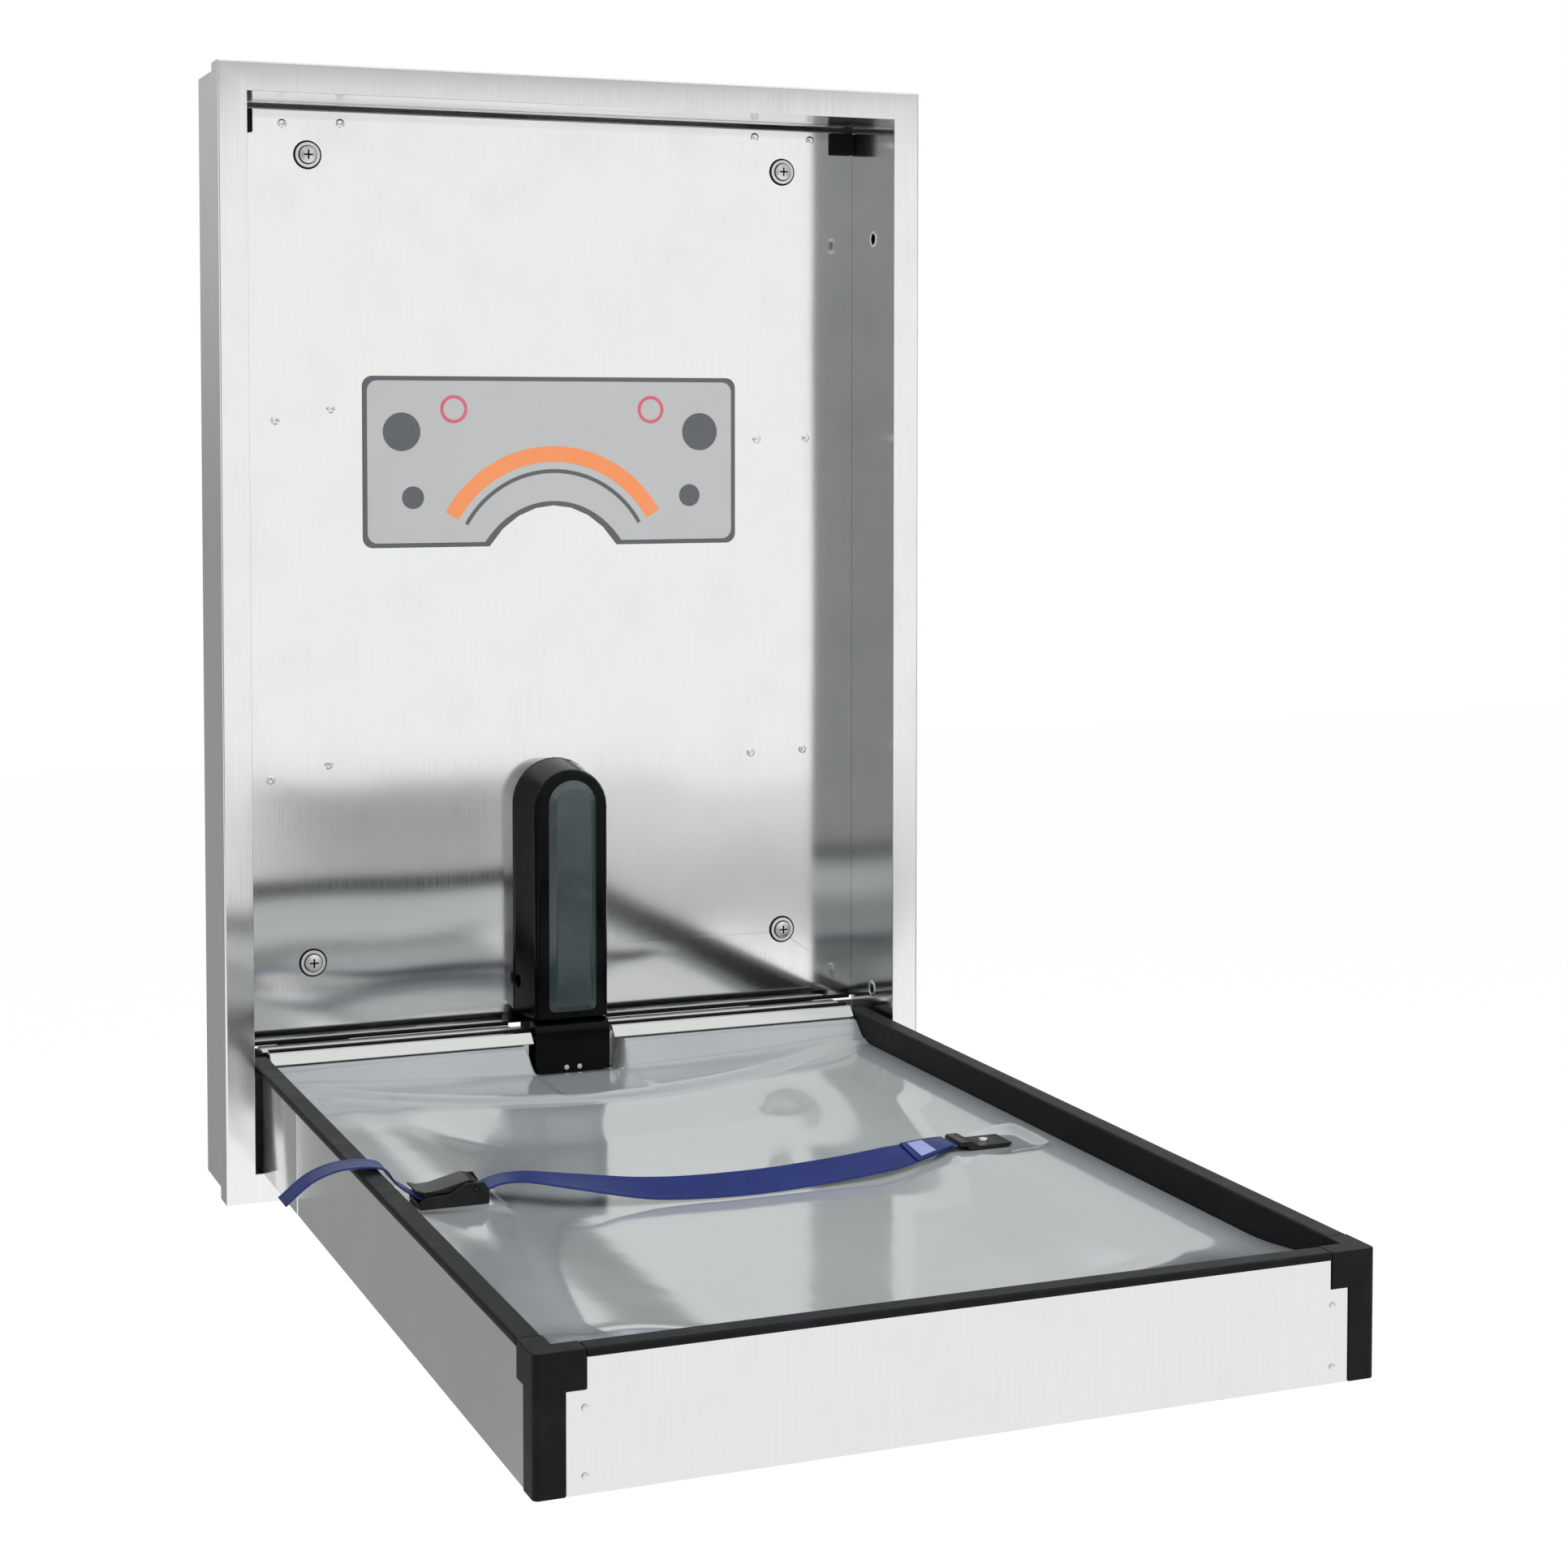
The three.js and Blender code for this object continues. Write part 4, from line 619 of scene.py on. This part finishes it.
# %% Cabinet sheets
FRAME_LOW, FRAME_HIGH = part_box("face_frame")
EDGE_BAND, FACE_BAND = 0.0005, 0.0002
DEBURRED, SHEET_BEND = 0.0004, 0.0018


def middle(edge):
    return (edge.verts[0].co + edge.verts[1].co) / 2


def outer_bend(edge):
    place = middle(edge)
    outside = abs(place.x) > FRAME_HIGH.x - EDGE_BAND or abs(place.z) > FRAME_HIGH.z - EDGE_BAND
    return outside and place.y < FRAME_LOW.y + FACE_BAND


def coat(names, material):
    """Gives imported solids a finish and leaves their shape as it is."""
    for name in names:
        finishes = nodes[name].data.materials
        finishes.clear()
        finishes.append(material)


dress("face_frame", steel_upright, DEBURRED, extra=[(outer_bend, SHEET_BEND)], segments=3)
dress("back_panel", steel_panel, DEBURRED, segments=1)
for node in ("case_side_left", "case_side_right"):
    dress(node, steel_upright, DEBURRED, segments=1)
coat(["sleeve_side_left", "sleeve_side_right"], steel_upright)
coat(["case_top", "case_bottom", "sleeve_top", "sleeve_bottom"], steel_level)
print("cabinet sheets dressed")

# %% [markdown]
# Four narrow strips finish the cabinet's edges: a black strip along the panel's foot, a bright bar on the
# hinge base that reaches over the knuckles, another black strip along the rear edge of the tray's bright
# strip, and a steel lip that carries the upper lining back towards the panel. The two black strips are
# painted shadow: dark bars laid where the gaps at the panel's foot and behind the bright strip fall in
# shade. Each is a bar with rounded long edges, made from one section. The bar stops where the folded
# strip comes down behind the hinge.

# %% Edge strips
LINING_LOW, LINING_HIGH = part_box("sleeve_top")
LEAF_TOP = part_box("tray_hinge_leaf")[1].z
BASE_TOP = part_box("hinge_base")[1].z
BLOCK_GAP = 0.045
STRIP_GAP = 0.0376


def edge_strip(name, x_half, y_range, z_range, material, body, slot, gap=0.0):
    """A level bar along X with rounded long edges; a gap leaves its middle out."""
    (y0, y1), (z0, z1) = y_range, z_range
    r = 0.35 * min(y1 - y0, z1 - z0)
    section = [(y0 + r, z0), (y1 - r, z0), (y1, z0 + r), (y1, z1 - r),
               (y1 - r, z1), (y0 + r, z1), (y0, z1 - r), (y0, z0 + r)]
    bm = bmesh.new()
    spans = [(-x_half, -gap), (gap, x_half)] if gap else [(-x_half, x_half)]
    for span in spans:
        ends = [[bm.verts.new((x, y, z)) for y, z in section] for x in span]
        join_rings(bm, *ends)
        for end in ends:
            bm.faces.new(end)
    finish_piece(name, bm, material, body, slot, 50)


# Painted shadow: a black bar in the shaded gap at the panel's foot.
edge_strip("panel_foot_painted_shadow", 0.290, (-0.0136, -0.0112), (RIM + 0.0003, RIM + 0.0034),
           rubber_and_painted_shade, "cabinet", "black_plastic", BLOCK_GAP)
edge_strip("hinge_base_bar", 0.272, (-0.0350, -0.0128), (BASE_TOP, RIM + 0.0002),
           zinc_plate, "cabinet", "stainless", BLOCK_GAP)
# Painted shadow: a black bar in the shaded gap behind the tray's bright strip.
edge_strip("hinge_gap_painted_shadow", 0.270, (-0.0530, -0.0458), (LEAF_TOP + 0.0001, LEAF_TOP + 0.0009),
           rubber_and_painted_shade, "tray", "black_plastic", STRIP_GAP)
edge_strip("lining_rear_lip", 0.2925, (LINING_HIGH.y, LINING_HIGH.y + 0.014),
           (LINING_LOW.z, LINING_LOW.z + 0.0012), steel_level, "cabinet", "stainless")
print("edge strips: 4")

# %% [markdown]
# The back panel is spot welded to the channels behind it. Each weld leaves a shallow ring, about 8 mm
# across. They sit in pairs beside the channels, in three rows. One mesh holds all twelve, each a small
# turned ring on the panel's face.

# %% Spot weld marks
PANEL_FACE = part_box("back_panel")[0].y
WELD_PROFILE = [(0.0, 0.0002), (0.0010, 0.00025), (0.0019, 0.0007), (0.0026, 0.00075), (0.0034, 0.0003),
                (0.0040, 0.0)]
WELD_PLACES = [(-0.244, 0.435), (-0.193, 0.437), (0.195, 0.440), (0.250, 0.439),
               (-0.252, 0.180), (-0.203, 0.190), (0.197, 0.163), (0.246, 0.164),
               (-0.258, -0.132), (-0.207, -0.121), (0.191, -0.127), (0.243, -0.126)]


def turned_piece(bm, profile, centre, outward=Vector((0, -1, 0)), sides=18):
    """A turned disc or ring on an upright face, closed at the back. Its axis points outward."""
    up = Vector((0, 0, 1))
    across = up.cross(outward)
    angles = [math.tau * k / sides for k in range(sides)]
    rings = []
    for radius, height in profile:
        if radius:
            rings.append([bm.verts.new(centre + outward * height + across * (radius * math.cos(angle))
                                       + up * (radius * math.sin(angle))) for angle in angles])
    for inner, outer in zip(rings, rings[1:]):
        join_rings(bm, inner, outer)
    if profile[0][0]:
        join_rings(bm, rings[-1], rings[0])
        return
    hub = bm.verts.new(centre + outward * profile[0][1])
    for k in range(sides):
        bm.faces.new((hub, rings[0][k], rings[0][(k + 1) % sides]))
    bm.faces.new(rings[-1])


bm = bmesh.new()
for x, z in WELD_PLACES:
    turned_piece(bm, WELD_PROFILE, Vector((x, PANEL_FACE, z)))
finish_piece("spot_weld_marks", bm, steel_upright, "cabinet", "stainless")
print("weld marks:", len(WELD_PLACES))

# %% [markdown]
# Each side wall has two 10 mm holes for fixing the cabinet between studs. The punch leaves a drawn rim
# round them, which catches the light.

# %% Drawn hole rims
HOLE_Y, HOLE_Z = -0.059, 0.346
RIM_PROFILE = [(0.0050, 0.0), (0.0052, 0.0006), (0.0058, 0.0009), (0.0066, 0.0007), (0.0072, 0.0)]
WALL_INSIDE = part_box("sleeve_side_right")[0].x
bm = bmesh.new()
for side in (-1, 1):
    for z in (-HOLE_Z, HOLE_Z):
        turned_piece(bm, RIM_PROFILE, Vector((side * WALL_INSIDE, HOLE_Y, z)), Vector((-side, 0, 0)), 24)
finish_piece("drawn_hole_rims", bm, zinc_plate, "cabinet", "stainless")
print("drawn rims: 4")

# %% [markdown]
# Four cross-head screws hold the panel. Each sits in a bright cup washer. A black ring round the washer's
# rim and a thin dark ring in the gap round its head are painted shade, where the rim and the gap fall in
# shadow. The cross recess is the imported solid's own; only its faces are painted darker, as shade.

# %% Screws, bumpers and hidden steel
# Both rings are painted shade: one round the washer's rim, one in the gap round the head.
SEAT_SHADE_PROFILE = [(0.0106, 0.0), (0.0106, 0.0011), (0.0112, 0.0015), (0.0121, 0.0012), (0.0125, 0.0)]
GAP_SHADE_PROFILE = [(0.0076, 0.0015), (0.0076, 0.0020), (0.0082, 0.0020), (0.0084, 0.0015)]
RECESS_REACH, RECESS_DEPTH = 0.0055, 0.0004
HIDDEN_STEEL = ["hinge_base", "rear_channel_left", "rear_channel_centre", "rear_channel_right", "hinge_pin",
                "damper_cylinder", "damper_bracket", "damper_rod_eye", "damper_lever", "bed_rail_rear",
                "bed_rail_front"]
PLATED = ["damper_top_pin", "damper_rod", "damper_lever_pin", "block_screw_left", "block_screw_right",
          "strap_anchor_screw", "buckle_screw", "front_rivet_left_1", "front_rivet_left_2",
          "front_rivet_right_1", "front_rivet_right_2"]


def in_recess(face, x, z, front):
    reach = max(math.hypot(corner.co.x - x, corner.co.z - z) for corner in face.verts)
    return reach < RECESS_REACH and face.calc_center_median().y > front + RECESS_DEPTH


bm = bmesh.new()
for number in range(1, 5):
    low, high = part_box(f"mounting_screw_{number}")
    x, z = (low.x + high.x) / 2, (low.z + high.z) / 2
    # The cross recess faces get the painted shade.
    dress(f"mounting_screw_{number}", zinc_plate, 0.0003, limit=50,
          second=(recess_painted_shade, lambda face: in_recess(face, x, z, low.y)))
    for profile in (SEAT_SHADE_PROFILE, GAP_SHADE_PROFILE):
        turned_piece(bm, profile, Vector((x, PANEL_FACE, z)), sides=36)
finish_piece("screw_painted_shade_rings", bm, rubber_and_painted_shade, "cabinet", "black_plastic")
for side in ("left", "right"):
    dress(f"bumper_{side}", rubber_and_painted_shade, 0.001, segments=3)
coat(HIDDEN_STEEL, galvanised)
coat(PLATED, zinc_plate)
coat(["buckle_pin"], buckle_abs)
print("hidden steel:", len(HIDDEN_STEEL), "plated:", len(PLATED))

# %% [markdown]
# ## Guide plate
# A printed film plate is stuck to the back panel, with an arch cut out of its lower edge. Its print here
# is a plain design: a charcoal edge, a pale grey field, two bows that follow the arch, four discs and two
# rings. Each shape is a separate thin layer, so the print stays crisp at any distance.

# %% Film finish
def printed_film(name, colour, speck):
    material, tree, place = start_material(name)
    dots = put(tree, "ShaderNodeTexNoise", {"Vector": place, "Scale": 1 / 0.0015, "Detail": 2.0})
    fade = put(tree, "ShaderNodeTexNoise", {"Vector": place, "Scale": 1 / 0.04, "Detail": 2.0})
    amount = put(tree, "ShaderNodeMath", {0: dots, 1: fade}, operation="MULTIPLY")
    shade = put(tree, "ShaderNodeMix", {0: amount, 6: linear(colour), 7: linear(speck)}, data_type="RGBA")
    bump = put(tree, "ShaderNodeBump", {"Height": dots, "Strength": 0.1, "Distance": 0.00004})
    shader = put(tree, "ShaderNodeBsdfPrincipled", {"Base Color": shade.outputs[2], "Normal": bump,
                                                    "Roughness": 0.42, "IOR": 1.5})
    put(tree, "ShaderNodeOutputMaterial", {"Surface": shader})
    return material


film_charcoal = printed_film("polyester_film_charcoal", "#54585a", "#626668")
film_grey = printed_film("polyester_film_pale_grey", "#b4b5b6", "#c2c3c3")
film_orange = printed_film("polyester_film_orange", "#ee8a4f", "#f2a272")
film_rose = printed_film("polyester_film_rose", "#c9566c", "#d67f8e")
coat(["guide_plate"], film_charcoal)
print("films: 4")

# %% [markdown]
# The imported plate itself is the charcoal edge. The grey field has the same outline, 4 mm inside it. A ring
# or a bow is a strip between two arcs.

# %% Printed layers
PLATE_LOW, PLATE_HIGH, PLATE_HALF, PLATE_CORNER = 0.068, 0.219, 0.175, 0.009
ARCH_HALF, ARCH_HIGH = 0.060, 0.036
ARCH_PULL = ARCH_HIGH * 1.33
PLATE_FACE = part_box("guide_plate")[0].y
FILM, OVERLAP, FIELD_INSET = 0.00012, 0.00002, 0.004
BOW_CENTRE, BOW_START = (0.0, 0.041), 30
BOWS = [("plate_bow_orange", 0.102, 0.116, film_orange), ("plate_bow_charcoal", 0.092, 0.0955, film_charcoal)]
DISCS = [(-0.140, 0.170, 0.017), (0.140, 0.170, 0.017), (-0.130, 0.112, 0.010), (0.130, 0.112, 0.010)]
RINGS = [(-0.0925, 0.190), (0.0925, 0.190)]


def arc_points(centre, radius, start, end, steps):
    """Points in x and z on an arc between two angles in degrees."""
    angles = [math.radians(start + (end - start) * k / steps) for k in range(steps + 1)]
    return [(centre[0] + radius * math.cos(a), centre[1] + radius * math.sin(a)) for a in angles]


def circle_points(centre, radius):
    return arc_points(centre, radius, 0, 354, 59)


def field_outline(inset):
    low = PLATE_LOW + inset
    side, upper = PLATE_HALF - inset - PLATE_CORNER, PLATE_HIGH - inset - PLATE_CORNER
    lower = low + PLATE_CORNER
    points = []
    for x, z, start in ((side, upper, 0), (-side, upper, 90), (-side, lower, 180)):
        points += arc_points((x, z), PLATE_CORNER, start, start + 90, 6)
    for k in range(25):
        t = k / 24
        u = 1 - t
        x = (ARCH_HALF + inset) * (t ** 3 - u ** 3 + 1.5 * t * u * (t - u))
        points.append((x, low + 3 * t * u * ARCH_PULL))
    return points + arc_points((side, lower), PLATE_CORNER, 270, 360, 6)


def film_layer(name, outline, level, material, hole=None):
    """A thin printed layer. Its outline is in x and z; a hole has as many points as the outline."""
    bm = bmesh.new()
    front, back = PLATE_FACE - FILM * (level + 1), PLATE_FACE - FILM * level + OVERLAP
    outer = [[bm.verts.new((x, y, z)) for x, z in outline] for y in (front, back)]
    join_rings(bm, *outer)
    if hole:
        inner = [[bm.verts.new((x, y, z)) for x, z in hole] for y in (front, back)]
        join_rings(bm, *inner)
        for one, other in zip(outer, inner):
            join_rings(bm, one, other)
    else:
        for ring in outer:
            bm.faces.new(ring)
    finish_piece(name, bm, material, "cabinet", "plate_film", 20)


film_layer("plate_field", field_outline(FIELD_INSET), 0, film_grey)
for name, inside, outside, material in BOWS:
    bow = arc_points(BOW_CENTRE, outside, BOW_START, 180 - BOW_START, 40)
    bow += reversed(arc_points(BOW_CENTRE, inside, BOW_START, 180 - BOW_START, 40))
    film_layer(name, bow, 1, material)
for number, (x, z, radius) in enumerate(DISCS, 1):
    film_layer(f"plate_disc_{number}", circle_points((x, z), radius), 1, film_charcoal)
for number, centre in enumerate(RINGS, 1):
    film_layer(f"plate_ring_{number}", circle_points(centre, 0.0125), 1, film_rose,
               circle_points(centre, 0.0095))
print("plate layers:", 1 + len(BOWS) + len(DISCS) + len(RINGS))

# %% [markdown]
# ## Hinge cover
# A black moulded cover hides the damper. Below it a separate black block turns with the tray. Both keep
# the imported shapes, with their fillets shaded smooth. On the cover sits a glossy slate panel with wide
# sloping edges, which catch the light apart from its face: that one is lofted through six outlines.

# %% Cover and block
dress("damper_cover", cover_abs, 0.0005, limit=50)
dress("hinge_block", cover_abs, 0.0008, limit=50, segments=3)
print("cover and block dressed")

# %% Slate panel
SLATE_LOW, SLATE_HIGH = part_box("cover_panel")
SLATE_HALF = SLATE_HIGH.x
SLATE_STEPS = [(0.0, SLATE_HIGH.y), (0.0002, SLATE_HIGH.y - 0.0006), (0.0008, SLATE_HIGH.y - 0.0011),
               (0.0055, SLATE_LOW.y + 0.0001), (0.0064, SLATE_LOW.y - 0.0003), (0.0074, SLATE_LOW.y - 0.0005)]


def slate_outline(inset):
    half, low = SLATE_HALF - inset, SLATE_LOW.z + inset
    arch = arc_points((0.0, SLATE_HIGH.z - SLATE_HALF), half, 0, 180, 30)
    foot = [(half - 0.005, low), (half - 0.0015, low + 0.0015), (half, low + 0.005)]
    return arch + [(-x, z) for x, z in reversed(foot)] + foot


bm = bmesh.new()
rings = [[bm.verts.new((x, y, z)) for x, z in slate_outline(inset)] for inset, y in SLATE_STEPS]
for back, front in zip(rings, rings[1:]):
    join_rings(bm, back, front)
bm.faces.new(rings[-1])
bm.faces.new(list(reversed(rings[0])))
slate = finish_piece("slate_panel", bm, slate_abs, "cabinet", "slate_plastic", 30)
keep_flat(slate)
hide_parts("cover_panel")
print("slate panel outline points:", len(rings[0]))

# %% [markdown]
# ## Tray steel
# The tray's shell, front panel and rear leaf are the same brushed sheet, folded. The front panel and the
# leaf wear darker copies of its finish, which is painted shade. The shell's sides have a lap seam about
# 130 mm in front of the cabinet, where the sheet is doubled towards the hinge.

# %% Tray sheets
# The front panel and the leaf get the darker copies, which are painted shade.
dress("tray_front_panel", steel_front_shaded, DEBURRED)
dress("tray_shell", steel_tray, 0.0005)
dress("tray_hinge_leaf", steel_strip_shaded, 0.0006)
SHELL_LOW, SHELL_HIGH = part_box("tray_shell")
LAP_FRONT, LAP_REAR, LAP_THICK = -0.236, -0.110, 0.0005
LAP_FOOT, LAP_TOP = SHELL_LOW.z + 0.0006, RIM - 0.0054
lap_corners = [(LAP_FRONT, LAP_FOOT), (LAP_REAR, LAP_FOOT), (LAP_REAR, LAP_TOP), (LAP_FRONT, LAP_TOP)]
for side, s in (("left", -1), ("right", 1)):
    bm = bmesh.new()
    skin = s * SHELL_HIGH.x
    inner = [bm.verts.new((skin, y, z)) for y, z in lap_corners]
    outer = [bm.verts.new((skin + s * LAP_THICK, y, z)) for y, z in lap_corners]
    bm.faces.new(inner)
    lap_face = bm.faces.new(list(reversed(outer)))
    join_rings(bm, inner, outer)
    bmesh.ops.recalc_face_normals(bm, faces=bm.faces)
    bmesh.ops.bevel(bm, geom=list(lap_face.edges), offset=0.0003, segments=2, profile=0.5, affect="EDGES")
    finish_piece(f"tray_side_lap_{side}", bm, steel_tray, "tray", "stainless")
print("tray sheets dressed")

# %% [markdown]
# ## Trim and corner caps
# Extruded PVC clips over the tray's sheet edge all round, and moulded caps close the two front corners.

# %% Trim and caps
for node in ("edge_trim_left", "edge_trim_right", "edge_trim_front"):
    dress(node, trim_pvc, 0.0006, limit=30)
for side in ("left", "right"):
    dress(f"corner_cap_{side}", trim_pvc, 0.0007, limit=50)
print("trim and caps dressed")

# %% [markdown]
# ## Moulded bed
# The bed is one sheet of grey ABS, vacuum formed over a mould: a shallow dish, a raised ledge with a bow
# at the rear, flat seats for the strap's fittings, and a pocket for the hinge block. Its depth follows the
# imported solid's formula on a much finer grid, with softer edges at the seats and the pocket. Formed sheet
# keeps slow ripples, a tenth of a millimetre high, and in a glossy surface they give the reflections their
# ragged edges. The sizes are millimetres: depths from the rim, y from the cabinet's front.

# %% Bed shape
BED_HALF, BED_FRONT_EDGE, BED_REAR_EDGE, STRIP_FRONT = 271.2, -739.0, 50.9, 36.7
FRAME_PLANE = -104.0
SIDE_DEPTH, BAND_DEPTH, FLOOR_DEPTH, FRONT_DEPTH, REAR_DEPTH = 24, 29, 42, 15, 7.4
SIDE_SLOPE, BAND_WIDTH, DISH_SLOPE = 55, 51, 110
LEDGE_FOOT, LEDGE_FALL, LEDGE_STEP, LEDGE_SLOPE, LEDGE_REAR = 35, 8, 6, 110, 22
LEDGE_BOW, LEDGE_INSET, STEP_REACH = 67, 31, 12
SEAT_DEPTH, SEAT_HALF, SEAT_INNER, SEAT_OUTER, SEAT_LINE = 30, 36, 175.2, 263.2, -330
SEAT_EDGES = (14, 12, 9)
POCKET_REACH, POCKET_FLOOR, POCKET_RISE, POCKET_FLAT, POCKET_SLOPE = -150, 35.4, 6.4, 41, 0.235
POCKET_HALF, POCKET_WALL, POCKET_BLEND = 46.5, 9, 1.2


def ease(t):
    t = min(1.0, max(0.0, t))
    return t * t * (3 - 2 * t)


def bed_depth(x, y):
    ax = abs(x)
    depth = SIDE_DEPTH + (BAND_DEPTH - SIDE_DEPTH) * ease((BED_HALF - ax) / SIDE_SLOPE)
    depth += (FLOOR_DEPTH - BAND_DEPTH) * ease((BED_HALF - BAND_WIDTH - ax) / DISH_SLOPE)
    depth = FRONT_DEPTH + (depth - FRONT_DEPTH) * ease((y - BED_FRONT_EDGE) / DISH_SLOPE)
    bow = min(1.0, (ax / (BED_HALF - LEDGE_INSET)) ** 2)
    on_ledge = y - LEDGE_BOW * (bow - 1) - LEDGE_STEP * bow
    foot = LEDGE_FOOT - LEDGE_FALL * bow
    depth += min(0.0, foot - depth) * ease(on_ledge / LEDGE_SLOPE + 1)
    depth += min(0.0, foot - LEDGE_STEP - depth) * ease((on_ledge + STEP_REACH / 4) / STEP_REACH)
    depth += (REAR_DEPTH - depth) * ease((y - STRIP_FRONT) / LEDGE_REAR + 1)
    seat = ease((SEAT_HALF - abs(y - SEAT_LINE)) / SEAT_EDGES[0])
    seat *= ease((ax - SEAT_INNER) / SEAT_EDGES[1]) * ease((SEAT_OUTER - ax) / SEAT_EDGES[2])
    depth += (SEAT_DEPTH - depth) * seat
    if y < POCKET_REACH:
        return depth
    floor_depth = POCKET_FLOOR - min(POCKET_RISE, POCKET_SLOPE * max(0.0, POCKET_FLAT - y))
    sunk = POCKET_BLEND * math.log(1 + math.exp((floor_depth - depth) / POCKET_BLEND))
    return depth + sunk * ease((POCKET_HALF - ax) / POCKET_WALL)


def grid_lines(start, end, step, fine):
    """Even lines with closer ones inside the fine stretches."""
    lines, at = [start], start
    while at < end - 1e-6:
        close = any(a <= at < b for a, b in fine)
        at = min(end, at + (step / 3.5 if close else step))
        lines.append(at)
    return lines


half_lines = grid_lines(0, BED_HALF, 6, [(35, 50), (174, 184), (254, 271.2)])
xs = [-x for x in reversed(half_lines[1:])] + half_lines
ys = grid_lines(BED_FRONT_EDGE, BED_REAR_EDGE, 7, [(-367, -358), (-302, -293), (-80, 45)])
print("bed grid", len(xs), "by", len(ys))

# %% [markdown]
# The sheet is grey ABS with a clear acrylic cap, which gives it the wet shine of sanitary ware: a mid-grey
# body under a coat that mirrors the room at a low angle. Forming leaves a fine orange peel, about 9 mm
# from crest to crest.

# %% Bed finish
def capped_abs():
    material, tree, place = start_material("acrylic_capped_grey_abs")
    peel = put(tree, "ShaderNodeTexNoise", {"Vector": place, "Scale": 1 / 0.009, "Detail": 3.0})
    cloud = put(tree, "ShaderNodeTexNoise", {"Vector": place, "Scale": 1 / 0.09, "Detail": 4.0})
    shade = put(tree, "ShaderNodeMix", {0: cloud, 6: linear("#989d9f"), 7: linear("#a4a9ab")},
                data_type="RGBA")
    gloss = put(tree, "ShaderNodeMapRange", {"Value": cloud, "From Min": 0.3, "From Max": 0.7,
                                             "To Min": 0.09, "To Max": 0.15})
    bump = put(tree, "ShaderNodeBump", {"Height": peel, "Strength": 0.3, "Distance": 0.00012})
    shader = put(tree, "ShaderNodeBsdfPrincipled", {
        "Base Color": shade.outputs[2], "Roughness": gloss, "Normal": bump, "IOR": 1.53,
        "Coat Normal": bump, "Coat Weight": 0.9, "Coat Roughness": 0.075, "Coat IOR": 1.5})
    put(tree, "ShaderNodeOutputMaterial", {"Surface": shader})
    return material


bed_abs = capped_abs()
print("made", bed_abs.name)

# %% Bed mesh
BED_WALL = 3.0
RIPPLE_FADE = 20


def bed_ripple(x, y):
    slow = noise.noise(Vector((x / 70, y / 90, 0.3)))
    quick = noise.noise(Vector((x / 17, y / 22, 4.1)))
    return 0.05 * slow + 0.065 * quick


def once_round(rows):
    """The grid's outer points in order."""
    right, left = [row[-1] for row in rows[1:-1]], [row[0] for row in rows[1:-1]]
    return rows[0] + right + rows[-1][::-1] + left[::-1]


bm = bmesh.new()
layers = []
for drop in (0.0, BED_WALL):
    rows = []
    for y in ys:
        row = []
        for x in xs:
            edge = min(BED_HALF - abs(x), y - BED_FRONT_EDGE, BED_REAR_EDGE - y)
            height = -bed_depth(x, y) - drop + bed_ripple(x, y) * ease(edge / RIPPLE_FADE)
            row.append(bm.verts.new((x / 1000, (FRAME_PLANE + y) / 1000, RIM + height / 1000)))
        rows.append(row)
    layers.append(rows)
top, under = layers
for j in range(len(ys) - 1):
    for i in range(len(xs) - 1):
        bm.faces.new((top[j][i], top[j][i + 1], top[j + 1][i + 1], top[j + 1][i]))
        bm.faces.new((under[j][i], under[j + 1][i], under[j + 1][i + 1], under[j][i + 1]))
join_rings(bm, once_round(top), once_round(under))
bed = finish_piece("formed_bed", bm, bed_abs, "tray", "bed_plastic", 50)
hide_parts("moulded_bed")
print("bed faces:", len(bed.data.polygons))

# %% [markdown]
# ## Buckle and anchor
# The buckle is a nylon cam buckle: a base with two cheeks, and a lever that pinches the webbing. The
# anchor is a small moulded clip under a screw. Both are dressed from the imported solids.

# %% Buckle and anchor
dress("buckle_base", buckle_abs, 0.0006, limit=30)
dress("buckle_lever", buckle_abs, 0.0006, limit=30)
ANCHOR_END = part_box("strap_anchor")[1].x


def anchor_corner(edge):
    """True for the upright edges at the anchor's outer end."""
    a, b = (vert.co for vert in edge.verts)
    upright = max(abs(a.x - b.x), abs(a.y - b.y)) < 0.0003
    return upright and middle(edge).x > ANCHOR_END - 0.003


dress("strap_anchor", buckle_abs, 0.0006, limit=30, extra=[(anchor_corner, 0.008)],
      segments=4)
print("buckle and anchor dressed")
